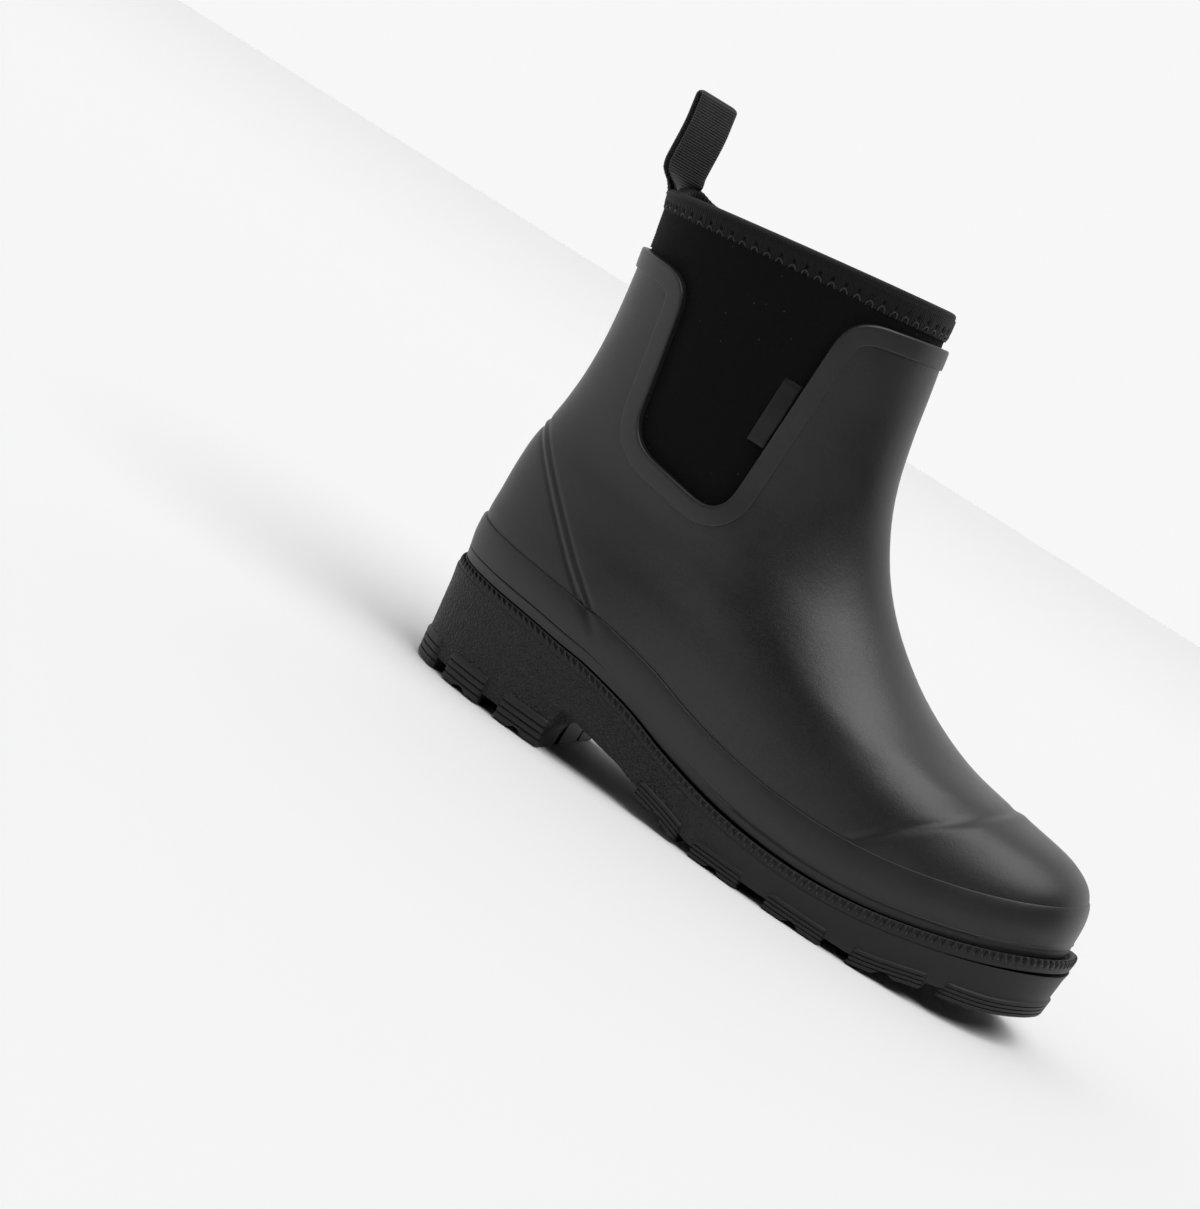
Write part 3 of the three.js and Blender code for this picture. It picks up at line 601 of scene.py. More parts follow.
def march(level, angle, step):
    """Moves points over the last by a step across their closed path, away from the window."""
    eps = 1e-4
    p = last_point(level, angle)
    d_level = (last_point(level + eps, angle) - p) / eps
    d_angle = (last_point(level, angle + eps) - p) / eps
    along = unit(np.roll(p, -1, 0) - np.roll(p, 1, 0))
    normal = unit(np.cross(d_angle, d_level))
    across = np.cross(along, normal)
    basis = np.stack([d_level, d_angle], -1)
    shift = np.einsum("nij,nj->ni", np.linalg.pinv(basis), across * step)
    return level + shift[:, 0], angle + shift[:, 1]


# Section of the edge tape, 8 wide and 1.1 thick: across from the window's edge and out from the last
TAPE_SECTION = [
    (0.0, -2.2), (0.0, -1.2), (0.0, 0.0), (0.08, 0.55), (0.35, 0.95), (0.9, 1.1), (2.0, 1.1), (3.6, 1.05),
    (5.2, 1.0), (6.6, 0.9), (7.4, 0.85), (7.8, 0.8), (7.92, 0.65), (8.0, 0.3), (8.02, -0.1),
]


def make_tape():
    """Rubber trim along the window's edge, all the way round the boot."""
    path = trim_path()
    level, angle = path[:, 0], path[:, 1]
    rows = []
    crossed = 0.0
    for across, out in TAPE_SECTION:
        steps = max(1, int(math.ceil((across - crossed) / 0.8)))
        if across > crossed:
            for _ in range(steps):
                level, angle = march(level, angle, (across - crossed) / steps)
            crossed = across
        rows.append(skin(level, angle, out))
    points = np.concatenate(rows)
    faces = grid_faces(len(rows), len(level))
    return finish_piece(add_mesh("edge_tape_trim", points, faces, RUBBER, smooth_angle=60),
                        "upper_rubber", "edge_tape")


# Toe cap's edge and the heel counter's edge in side view
CAP_LINE = np.array([(0.664, 0.300), (0.708, 0.406), (0.736, 0.493), (0.764, 0.560), (0.792, 0.618),
                     (0.830, 0.715), (0.900, 0.900)]) * [SOLE_LENGTH, INSTEP_HEIGHT]
COUNTER_LINE = np.array([(0.290, 0.420), (0.233, 0.551), (0.181, 0.657), (0.111, 0.812), (0.024, 1.005),
                         (-0.05, 1.16)]) * [SOLE_LENGTH, INSTEP_HEIGHT]


def upper_reach(p):
    """Relief of the rubber: toe cap's soft step and crease, the counter's double ridge."""
    x, z = p[..., 0], p[..., 2]
    cap = from_line(x, z, CAP_LINE)
    step = CAP_STEP * smooth(-cap, -1.0, 2.4)
    crease = -0.35 * bump(cap, 1.2, 1.3)
    counter = from_line(x, z, COUNTER_LINE)
    ridge = 0.25 * bump(counter, 1.7, 1.1) - 0.42 * (bump(counter, 0.0, 0.85) + bump(counter, 3.4, 0.85))
    fade = smooth(z, 38, 46)
    return step + crease + ridge * fade


def make_upper():
    """Outer and inner wall of the rubber, open at the windows under the tape."""
    columns = 540
    low = 0.06
    levels = np.concatenate([np.linspace(low, 0.5, 112)[:-1], np.linspace(0.5, 0.97, 52)])
    angles = spread_angles(0.12, columns, lambda x: 1 + 1.8 * (1 - smooth(x, 80, 105)))
    level, angle = np.meshgrid(levels, angles, indexing="ij")
    p = last_point(level, angle)
    depth = from_line(p[..., 0], p[..., 2], WINDOW)
    outer = skin(level, angle, upper_reach(p))
    faces = grid_faces(len(levels), columns)
    keep = (depth.ravel()[faces] < -0.6).all(axis=1)
    level, angle = np.meshgrid(np.linspace(0, 0.97, 40), round_angles(90), indexing="ij")
    inner = skin(level, angle, -RUBBER_WALL)
    inner_faces = grid_faces(40, 90, flip=True)
    inner_keep = (window_depth(level, angle).ravel()[inner_faces] < -0.6).all(axis=1)
    points = np.concatenate([outer.reshape(-1, 3), inner.reshape(-1, 3)])
    all_faces = np.concatenate([faces[keep], inner_faces[inner_keep] + outer.size // 3])
    return finish_piece(add_mesh("upper_shell", points, all_faces, RUBBER, smooth_angle=0),
                        "upper_rubber", "upper")


def make_rand():
    """Band that thins toward its crisp top edge. A fine line runs above its foot, a groove at the heel and
    a bead ahead, and the counter's ridge shows through it as a crease."""
    columns = 640
    angles = spread_angles(0.05, columns, np.ones_like)
    levels = np.array([0.000, 0.004, 0.010, 0.016, 0.0195, 0.0212, 0.0222, 0.0229, 0.0236, 0.0243, 0.0250,
                       0.0258, 0.027, 0.031, 0.040, 0.050, 0.060, 0.070, 0.080, 0.088, 0.0935, 0.0970, 0.0985,
                       0.0993, 0.0998, 0.1000, 0.1000])
    tops = np.interp(levels, [0, 0.055, 0.085, 0.098, 0.0993, 0.1], [1.95, 1.95, 1.45, 1.05, 0.95, 0.6])
    tops[-1] = -0.2
    rows = []
    for level, top in zip(levels, tops):
        p = last_point(level, angles)
        ahead = smooth(share(p[:, 0]), 0.36, 0.58)
        groove = -0.42 * bump(level, 0.0236, 0.0011) * (1 - smooth(share(p[:, 0]), 0.20, 0.33))
        bead = 0.30 * bump(level, 0.0200, 0.0014)
        tuck = 0.15 * (level < 0.0190)
        crease = 0.45 * bump(from_line(p[:, 0], p[:, 2], COUNTER_LINE), 1.7, 1.5) * smooth(p[:, 2], 43, 56)
        rows.append(skin(level, angles, top + lerp(groove, bead - tuck, ahead) - crease * (top > 0.7)))
    return finish_piece(add_mesh("rand_band", np.concatenate(rows), grid_faces(len(rows), columns), RUBBER,
                                 smooth_angle=50), "upper_rubber", "rand")


def make_liner():
    """Neoprene's two walls, swollen a little in the windows."""
    columns = 200
    angles = round_angles(columns)
    levels = np.linspace(0.0, 0.985, 110)
    level, angle = np.meshgrid(levels, angles, indexing="ij")
    p = last_point(level, angle)
    depth = from_line(p[..., 0], p[..., 2], WINDOW)
    swell = 0.8 * smooth(depth, 1, 9) * smooth(p[..., 2], 100, 120)
    outer = skin(level, angle, LINER_REACH + swell)
    inner = skin(level[::-1], angle[::-1], LINER_INSIDE)
    points = np.concatenate([outer.reshape(-1, 3), inner.reshape(-1, 3)])
    faces = grid_faces(2 * len(levels), columns)
    return finish_piece(add_mesh("liner_shell", points, faces, NEOPRENE, smooth_angle=60),
                        "neoprene", "neoprene_liner")


# Collar binding: a soft roll over the liner's edge, sewn on with a row of arched stitches
RIBS_PER_MM = 0.95
STITCH_PITCH = 5.4
BINDING_EDGE = 0.55
BINDING_ROLL = 2.6
COLLAR_PULL = 4.0
BINDING_WIDTH = 8.4


def binding_out(level):
    """How far the binding stands out from the last at a level: from its thin lower edge to the roll."""
    rise = (np.asarray(level, float) - BINDING_LEVEL) / (1 - BINDING_LEVEL)
    return LINER_REACH + BINDING_EDGE + 1.25 * smooth(rise, -0.15, 0.75)


def make_binding():
    """The binding's band and roll, drawn up beside the pull loop and dimpled by its stitches."""
    columns = 960
    angles, length = even_angles(1.0, columns)
    inside = LINER_INSIDE - CLEARANCE - BINDING_THICKNESS
    outside = float(binding_out(1.0))
    middle, half = (outside + inside) / 2, (outside - inside) / 2
    count = round(length / STITCH_PITCH)
    phase = (np.arange(columns) / columns * count) % 1 - 0.5
    across = phase * length / count
    rows = []
    from_back = (angles + math.pi) % (2 * math.pi) - math.pi
    arc = -from_back * 36
    pulled = bump(arc, 8, 10)
    ripple = 0.35 * np.sin(arc * 2.6) * bump(arc, 9, 9)
    section = [(BINDING_LEVEL, -1.2), (BINDING_LEVEL + 0.001, -0.35), (BINDING_LEVEL + 0.0016, 0.0),
               *[(level, 0.0) for level in np.linspace(BINDING_LEVEL + 0.002, 0.990, 16)]]
    for level, more in section:
        climb = (level - BINDING_LEVEL) * (COLLAR_BACK - HEEL_TOP) * 1.3
        pit = bump(across, 0.0, 0.55) * bump(climb, 3.1, 0.6)
        foot = (bump(across, -1.25, 0.5) + bump(across, 1.25, 0.5)) * bump(climb, 0.0, 0.7)
        puff = 0.25 * bump(across, length / count / 2, 1.3) * bump(climb, 2.4, 2.0)
        ring = skin(level, angles, binding_out(level) + more - 1.0 * pit - 0.5 * foot + puff)
        ring[:, 2] += pulled * COLLAR_PULL * smooth(level, 0.975, 1.0)
        rows.append(ring)
    for turn in np.linspace(0, math.pi, 15):
        reach = middle + half * math.copysign(abs(math.cos(turn)) ** 0.8, math.cos(turn))
        ring = skin(1.0, angles, reach + ripple)
        ring[:, 2] -= BINDING_ROLL * (1 - math.sin(turn) ** 0.8) - pulled * COLLAR_PULL
        rows.append(ring)
    for level in (0.98, 0.970, BINDING_LEVEL + 0.002):
        rows.append(skin(level, angles, inside + ripple))
    rows.append(skin(BINDING_LEVEL, angles, inside + 1.0))
    around = np.arange(columns + 1) / columns * round(length * RIBS_PER_MM)
    points = np.concatenate([np.concatenate([row, row[:1]]) for row in rows])
    uv = np.stack(np.meshgrid(around, np.linspace(0, 1, len(rows))), -1).reshape(-1, 2)
    faces = grid_faces(len(rows), columns + 1, around=False)
    return finish_piece(add_mesh("binding_band", points, faces, KNIT, uv, smooth_angle=60),
                        "knit", "collar_binding")


def tube(points, radius, sides=6):
    """Points and faces of a closed-ended tube along points."""
    points = np.asarray(points, float)
    along = unit(np.gradient(points, axis=0))
    start = np.array([0, 0, 1.0]) if abs(along[0, 2]) < 0.9 else np.array([1.0, 0, 0])
    side = unit(np.cross(along, start))
    up = np.cross(side, along)
    turn = np.linspace(0, 2 * math.pi, sides, endpoint=False)
    ring = side[:, None] * np.cos(turn)[None, :, None] + up[:, None] * np.sin(turn)[None, :, None]
    ring = points[:, None] + ring * radius
    faces = grid_faces(len(points), sides).tolist()
    faces.append(list(range(sides))[::-1])
    faces.append([(len(points) - 1) * sides + k for k in range(sides)])
    return ring.reshape(-1, 3), faces


def join_parts(parts):
    points, faces, count = [], [], 0
    for some, these in parts:
        points.append(some)
        faces += [[i + count for i in face] for face in these]
        count += len(some)
    return np.concatenate(points), faces


def make_binding_stitches():
    """A row of small arches of thread that stand on the binding's lower edge, outside."""
    columns = 4000
    angles, length = even_angles(1.0, columns)
    count = round(length / STITCH_PITCH)
    turn = np.linspace(0, math.pi, 11)
    per_mm = (1 - BINDING_LEVEL) / BINDING_WIDTH
    parts = []
    for k in range(count):
        lean = 0.25 * math.sin(k * 2.4)
        across = -1.45 * np.cos(turn) + lean * np.sin(turn)
        level = BINDING_LEVEL + (0.2 + 1.7 * np.sin(turn)) * per_mm
        at = np.interp(((k + 0.5) / count * columns + across / length * columns) % columns,
                       np.arange(columns), angles)
        out = binding_out(level) + 0.22 - 0.45 * np.abs(np.cos(turn)) ** 6
        parts.append(tube(skin(level, at, out), 0.27))
    points, faces = join_parts(parts)
    return finish_piece(add_mesh("binding_stitches", points, faces, THREAD, smooth_angle=0), "knit")


def make_tag():
    """Side tag: a soft-edged bare label."""
    low = GORE_BOTTOM + TAG_RISE
    rows, columns = 24, 12
    v = np.linspace(0, 1, rows)
    u = np.linspace(0, 1, columns)
    z = low + v[:, None] * TAG_LENGTH + 0 * u[None]
    x = window_front_at(z) - CLEARANCE - TAG_WIDTH * (1 - u[None])
    level, angle = place_on_side(x, z)
    edge = np.minimum(np.minimum(u, 1 - u)[None] * TAG_WIDTH, np.minimum(v, 1 - v)[:, None] * TAG_LENGTH)
    out = (LINER_REACH + CLEARANCE + TAG_THICKNESS - 0.5 * (1 - smooth(edge, 0, 0.9))
           + 0.6 * bump(v[:, None], 0.5, 0.3))
    top = skin(level, angle, out)
    under = skin(level, angle, LINER_REACH + 0.1)
    points = np.concatenate([top.reshape(-1, 3), under.reshape(-1, 3)])
    faces = grid_faces(rows, columns, around=False, flip=True).tolist()
    faces += grid_faces(rows, columns, around=False, start=rows * columns).tolist()
    rim = (list(range(columns)) + [r * columns + columns - 1 for r in range(1, rows)]
           + [(rows - 1) * columns + c for c in range(columns - 2, -1, -1)]
           + [r * columns for r in range(rows - 2, 0, -1)])
    for a, b in zip(rim, rim[1:] + rim[:1]):
        faces.append([a, b, b + rows * columns, a + rows * columns])
    return finish_piece(add_mesh("side_tag_label", points, faces, TAG_RUBBER, smooth_angle=50),
                        "upper_rubber", "side_tag")


def place_on_side(x, z):
    """(level, angle) on the outer side where the last has this x and z in side view."""
    level = np.clip((z - 30) / 190, 0.05, 0.95)
    angle = np.full_like(level, math.pi / 2)
    eps = 1e-4
    for _ in range(25):
        p = last_point(level, angle)
        a = (last_point(level + eps, angle) - p) / eps
        b = (last_point(level, angle + eps) - p) / eps
        dx, dz = x - p[..., 0], z - p[..., 2]
        det = a[..., 0] * b[..., 2] - a[..., 2] * b[..., 0]
        level = np.clip(level + np.clip((dx * b[..., 2] - dz * b[..., 0]) / det, -0.1, 0.1), 0.01, 0.999)
        angle = angle + np.clip((dz * a[..., 0] - dx * a[..., 2]) / det, -0.3, 0.3)
    return level, angle


# Pull loop: its outer tail lies flat on the liner, its legs rise from the rim and twist above it
def web_seat(z, reach):
    """Where the webbing's middle lies at the back at a height, and how far its edges lie ahead of it."""
    fine = np.linspace(0.7, 1, 2000)
    level = np.interp(min(z, COLLAR_BACK), last_point(fine, 0)[:, 2], fine)
    angle = np.linspace(0, 1.2, 2000)
    across = -skin(level, angle, reach)[:, 1]
    edge = np.interp(WEB_WIDTH / 2, across, angle)
    x = skin(level, 0.0, reach)[0]
    return x, skin(level, edge, reach)[0] - x


def loop_stations():
    """Stations (x, y, z, turn, sag) of the webbing's middle from the outer tail over the top to the inner."""
    grip = CLEARANCE + WEB_THICKNESS / 2
    inner_face = LINER_INSIDE - CLEARANCE - BINDING_THICKNESS
    rim = COLLAR_BACK + 2 * CLEARANCE
    top = COLLAR_BACK + LOOP_RISE - WEB_THICKNESS / 2
    outer_x, outer_sag = web_seat(rim, 0)
    inner_x, inner_sag = web_seat(rim, inner_face - CLEARANCE)
    middle = (outer_x + inner_x) / 2
    back = middle - outer_x - LOOP_AHEAD
    stations = []

    def place(apart, z, rise, sag):
        turn = LOOP_TWIST * float(smooth(rise, 0, 0.18))
        x = middle - back * float(1 - smooth(rise, 0.1, 0.8)) + apart * math.cos(turn) - LOOP_LEAN * rise
        stations.append((x, -apart * math.sin(turn), z, turn, sag))

    def leg(side, sag):
        return [(side * LOOP_BEND, lerp(rim, top - LOOP_BEND, rise), rise, sag * (1 - min(4 * rise, 1)))
                for rise in np.linspace(0, 1, 21)]

    for drop in np.linspace(TAIL_SHOWN, 3, 8):
        x, sag = web_seat(COLLAR_BACK - drop, LINER_REACH)
        place(x - middle + back, COLLAR_BACK - drop, 0, sag)
    for step in leg(-1, outer_sag):
        place(*step)
    for turn in np.linspace(0, math.pi, 12)[1:-1]:
        place(-LOOP_BEND * math.cos(turn), top - LOOP_BEND + LOOP_BEND * math.sin(turn), 1, 0)
    for step in reversed(leg(1, inner_sag)):
        place(*step)
    for drop in np.linspace(4, LOOP_INSIDE, 5):
        x, sag = web_seat(COLLAR_BACK - drop, inner_face - CLEARANCE)
        place(x - middle + grip + back, COLLAR_BACK - drop, 0, sag)
    return np.array(stations)


def make_loop():
    """The webbing along its stations, with ribs across it and thin edges."""
    coarse = loop_stations()
    run = np.concatenate([[0], np.cumsum(np.linalg.norm(np.diff(coarse[:, :3], axis=0), axis=1))])
    per_rib = 6
    count = int(run[-1] / WEB_RIB) * per_rib
    s = np.linspace(0, run[-1], count)
    middle = np.stack([np.interp(s, run, coarse[:, k]) for k in range(3)], -1)
    turn, sag = np.interp(s, run, coarse[:, 3]), np.interp(s, run, coarse[:, 4])
    for _ in range(4):
        middle[1:-1] = (middle[:-2] + 2 * middle[1:-1] + middle[2:]) / 4
    across = np.stack([np.sin(turn), np.cos(turn), 0 * turn], -1)
    along = unit(np.gradient(middle, axis=0))
    up = unit(np.cross(along, across))
    height = WEB_RIB_HEIGHT * (0.5 + 0.5 * np.cos(2 * math.pi * s / WEB_RIB))
    half_thick = WEB_THICKNESS / 2 - WEB_THINNING
    over, under = [], []
    for place in np.linspace(-1, 1, 19):
        edge = 1 - 0.55 * abs(place) ** 14
        line = middle + across * (place * WEB_WIDTH / 2)
        line[:, 0] += sag * place * place
        over.append(line + up * ((half_thick + height) * edge)[:, None])
        under.append(line - up * ((half_thick + height) * edge)[:, None])
    ring = np.stack(under + over[::-1], 1)
    columns = ring.shape[1]
    points = ring.reshape(-1, 3)
    uv = np.stack([np.repeat(s / WEB_RIB, columns), np.tile(np.arange(columns) / columns, count)], -1)
    faces = grid_faces(count, columns).tolist()
    faces.append(list(range(columns))[::-1])
    faces.append([(count - 1) * columns + k for k in range(columns)])
    return finish_piece(add_mesh("pull_loop_webbing", points, faces, WEBBING, uv, smooth_angle=60),
                        "webbing", "pull_loop")


# Welt and rope
def welt_reach_at(x):
    return lerp(WELT_REACH_HEEL, WELT_REACH_TOE, smooth(share(x), 0.1, 0.6))


def welt_top(x):
    return feather_at(x) - CLEARANCE


def sole_top(x):
    return welt_top(x) - WELT_THICKNESS - CLEARANCE


# Turns of the welt's rim in section, from its inner side over its crest to its foot, in degrees
RIM_TURNS = [178, 150, 125, 108, 96, 86, 78, 71, 64, 57, 50, 43, 36, 29, 22, 15, 8, 1, -6, -16, -30, -48,
             -66, -84]
RIM_PITCH = 3.2
RIM_COLUMNS = 10
RIM_WIDTH = 1.75
RIM_HEIGHT = 2.1
RIM_CREST = 1.0
RIM_LIFT = 1.3
SHELF_INSIDE = -9.0
SHELF_RISE = 0.35
POCKET_DEPTH = 1.45


def make_welt():
    """The welt's shelf and the roped rim on its edge: a crest over a row of rounded pockets."""
    _, length = even_angles(0.0, 100, 4)
    columns = int(length / RIM_PITCH) * RIM_COLUMNS
    angles, _ = even_angles(0.0, columns, 4)
    base = last_point(0.0, angles)[:, 0]
    reach = welt_reach_at(base)
    slant = lerp(0.55, 0.05, smooth(share(base), 0.15, 0.5)) * np.sign(math.pi - angles)
    lift = RIM_LIFT * smooth(share(base), 0.50, 0.92)
    rows = []

    def row(offset, up):
        ring = skin(0.0, angles, reach + offset)
        ring[:, 2] = welt_top(ring[:, 0]) + up
        rows.append(ring)

    row(SHELF_INSIDE, -2.0)
    row(SHELF_INSIDE, SHELF_RISE)
    row(-2 * RIM_WIDTH - 0.3, SHELF_RISE + 0.6 * lift)
    for degrees in RIM_TURNS:
        turn = math.radians(degrees)
        climb = (degrees + 14) / 84
        phase = np.arange(columns) / RIM_COLUMNS + slant * (climb - 0.5)
        off = np.abs(phase % 1 - 0.5)
        open_to = 0.40 * math.sqrt(min(max(climb, 0.0), 1.0))
        pocket = smooth(open_to - off, -0.07, 0.09) * float(smooth(climb, 1.08, 0.86))
        pocket = pocket * float(smooth(climb, 0.0, 0.12))
        petal = 0.16 * smooth(0.5 - off, 0.0, 0.3) * float(bump(climb, 0.25, 0.35))
        grow = 1 - (POCKET_DEPTH * pocket + petal - 0.10) / RIM_HEIGHT
        c, s = math.cos(turn), math.sin(turn)
        out = math.copysign(abs(c) ** 0.75, c) * RIM_WIDTH
        up = math.copysign(abs(s) ** 0.75, s) * RIM_HEIGHT
        if degrees < 0:
            out = RIM_WIDTH * (1 - 0.16 * s * s)
        raised = lift * min(1 + min(degrees, 0) / 84, 1)
        row(-0.25 - RIM_WIDTH + out * grow, RIM_CREST - RIM_HEIGHT + up * grow + raised)
    row(SHELF_INSIDE, -WELT_THICKNESS - 0.4)
    rows.append(rows[0])
    return finish_piece(add_mesh("welt_rope", np.concatenate(rows), grid_faces(len(rows), columns), WELT,
                                 smooth_angle=75), "sole_rubber", "welt")


# Outsole
def on_heel(x):
    return 1 - smooth(share(x), 0.33, 0.37)


def tread_at(x):
    s = np.maximum(share(x), TREAD["at"][0])
    lift = ARCH_LIFT * column(TREAD, "arch", s, "at") + TOE_SPRING * column(TREAD, "spring", s, "at")
    return np.maximum(lift, 0) * (1 - on_heel(x))


def lug_top_at(x):
    return lerp(LUG_DEPTH, HEEL_LUG_DEPTH, on_heel(x))


def base_at(x):
    fall = smooth(share(x), 0.27, 0.40)
    start = TREAD["at"][1] * SOLE_LENGTH
    front = tread_at(np.maximum(x, start)) + LUG_DEPTH
    return lerp(SHANK_HEIGHT, front, fall)


def side_point(angles, height, extra):
    """Point on the sole's side at a height, which may differ from point to point."""
    x = last_point(0.0, angles)[..., 0]
    drop = sole_top(x) - height
    p = skin(0.0, angles, welt_reach_at(x) - SIDE_STEP - SIDE_SLOPE * drop + extra)
    p[..., 0] += HEEL_RAKE * drop * (1 - smooth(share(p[..., 0]), 0, 0.15))
    p[..., 2] = height
    return p


# How far the sole's wall reaches up into the welt, and how low its wall comes between the lugs
SOLE_INTO_WELT = 0.9
HEEL_WALL_LOW = 5.0
FORE_WALL_LOW = 3.7


def make_sole_body():
    """Side wall, top and underside of the sole without its lugs."""
    columns = 360
    angles = round_angles(columns)
    x = last_point(0.0, angles)[:, 0]
    top = sole_top(x)
    low = base_at(x)
    heel = smooth(-x, -BREAST_AT - 1.2, -BREAST_AT + 0.2)
    ahead = smooth(share(x), 0.37, 0.42)
    low = lerp(low - (LUG_DEPTH - FORE_WALL_LOW) * ahead, HEEL_WALL_LOW, heel)
    rows = []
    for t in (1.0, 0.97, 0.8, 0.6, 0.4, 0.2, 0.06, 0.0):
        extra = 0.7 * SIDE_STEP * (t > 0.9) - 0.4 * (t == 0.0)
        rows.append(side_point(angles, lerp(low, top + SOLE_INTO_WELT, t), extra))
    points = np.concatenate(rows)
    faces = grid_faces(len(rows), columns, flip=True).tolist()
    half = columns // 2
    last = (len(rows) - 1) * columns
    for k in range(half):
        a, b = k, k + 1
        c, d = (columns - k - 1) % columns, (columns - k) % columns
        quad = list(dict.fromkeys([a, b, c, d]))
        if len(quad) > 2:
            faces.append(quad)
            faces.append([last + i for i in quad[::-1]])
    return finish_piece(add_mesh("outsole_body", points, faces, SOLE, smooth_angle=45),
                        "sole_rubber", "outsole")


def angle_at(x, side):
    """Angle of the feather line's point at x, outer side -1 or inner side 1."""
    fine = np.linspace(1e-4, math.pi - 1e-4, 4000)
    signed = fine if side < 0 else 2 * math.pi - fine
    p = side_point(signed, np.full(fine.shape, 6.0), 0)
    return np.interp(x, p[:, 0], signed)


# Section of a lug's outer side: way up from the tread to the ledge, and how far it is cut in
LUG_GROOVES = (0.28, 0.50, 0.72)
GROOVE_SECTION = [(-0.045, 0.0), (-0.028, 0.12), (-0.018, 0.85), (0.018, 0.85), (0.028, 0.12), (0.045, 0.0)]
LUG_SECTION = [(0.0, 1.9), (0.02, 1.2), (0.06, 0.35), (0.10, 0.0),
               *[(groove + way, cut) for groove in LUG_GROOVES for way, cut in GROOVE_SECTION],
               (0.88, 0.0), (0.905, 0.08), (0.99, 0.98), (1.02, 2.0)]
LUG_END = [1.6, 0.7, 0.2, 0.03]
NOTCH_DEPTH = 2.1
NOTCH_HALF = 4.4
TOE_LUG_COLUMNS = 110
HEEL_RIM_COLUMNS = 80
CHEVRON_TOP = 14


def end_tuck(count):
    """How far a lug's side is drawn in, along its length: its ends are rounded."""
    return np.concatenate([LUG_END, np.zeros(count - 2 * len(LUG_END)), LUG_END[::-1]])


def cap_ends(faces, rows, columns, flip):
    """Closes both ends of an open grid."""
    first = [r * columns for r in range(rows)]
    last = [r * columns + columns - 1 for r in range(rows)]
    faces.append(first if flip else first[::-1])
    faces.append(last[::-1] if flip else last)


def edge_lug(start, end, side, inner_y, around_toe=False):
    """One lug at the sole's edge, with rounded ends, grooves along its side and a notch below."""
    if around_toe:
        angles = np.linspace(float(angle_at(start, -1)), float(angle_at(start, 1)), TOE_LUG_COLUMNS)
        x = last_point(0.0, angles)[:, 0]
        notch = np.zeros_like(x)
    else:
        stations = np.array([0, 0.4, 0.9, 1.6, 3.0])
        middle_x = np.linspace(start + 3.8, end - 3.8, max(8, int((end - start) / 1.2)))
        x = np.concatenate([start + stations, middle_x, (end - stations)[::-1]])
        angles = angle_at(x, side)
        notch = NOTCH_DEPTH * np.clip((NOTCH_HALF - np.abs(x - (start + end) / 2)) / 3.4, 0, 1)
    count = len(x)
    tuck = end_tuck(count)
    low = tread_at(x)
    high = lug_top_at(x) + LUG_LEDGE
    rows = []
    for t, cut in LUG_SECTION:
        height = low + t * high
        cut = np.where(height < low + notch, 0.5, cut)
        rows.append(side_point(angles, np.maximum(height, low + notch), LUG_LEDGE - cut - tuck))
    inward = []
    for share_in in (0.12, 0.5, 0.88, 1.0):
        p = rows[0].copy()
        if around_toe:
            p[:, 0] = lerp(p[:, 0], start + 4, share_in * 0.55)
            p[:, 1] = lerp(p[:, 1], 2.0, share_in * 0.55)
        else:
            p[:, 1] = lerp(p[:, 1], side * inner_y, share_in)
        p[:, 2] = tread_at(p[:, 0]) + (notch if share_in < 0.3 else 0)
        if share_in == 1.0:
            p[:, 2] += 1.2
        inward.append(p)
    closing = inward[-1].copy()
    closing[:, 2] = low + high + 2
    ring = [closing, *inward[::-1], *rows]
    flip = side < 0 or around_toe
    faces = grid_faces(len(ring), count, around=False, flip=not flip).tolist()
    cap_ends(faces, len(ring), count, flip)
    return np.concatenate(ring), faces


def slab(outline, low, high):
    """Upright prism of a plan outline (counter-clockwise) from low(x) to high, its lower edge bevelled."""
    outline = np.asarray(outline, float)
    n = len(outline)
    centre = outline.mean(0)
    inset = outline + unit(centre - outline) * 0.5
    rows = [np.c_[inset, low(inset[:, 0])], np.c_[outline, low(outline[:, 0]) + 0.5],
            np.c_[outline, np.full(n, high)]]
    faces = grid_faces(3, n).tolist()
    faces.append(list(range(n))[::-1])
    faces.append([2 * n + k for k in range(n)])
    return np.concatenate(rows), faces


def arc_points(radius, start, end, count=14):
    t = np.linspace(start, end, count)
    return np.c_[PAD_CENTRE + radius * np.cos(t), radius * np.sin(t)]


def level_floor(x):
    return 0 * x


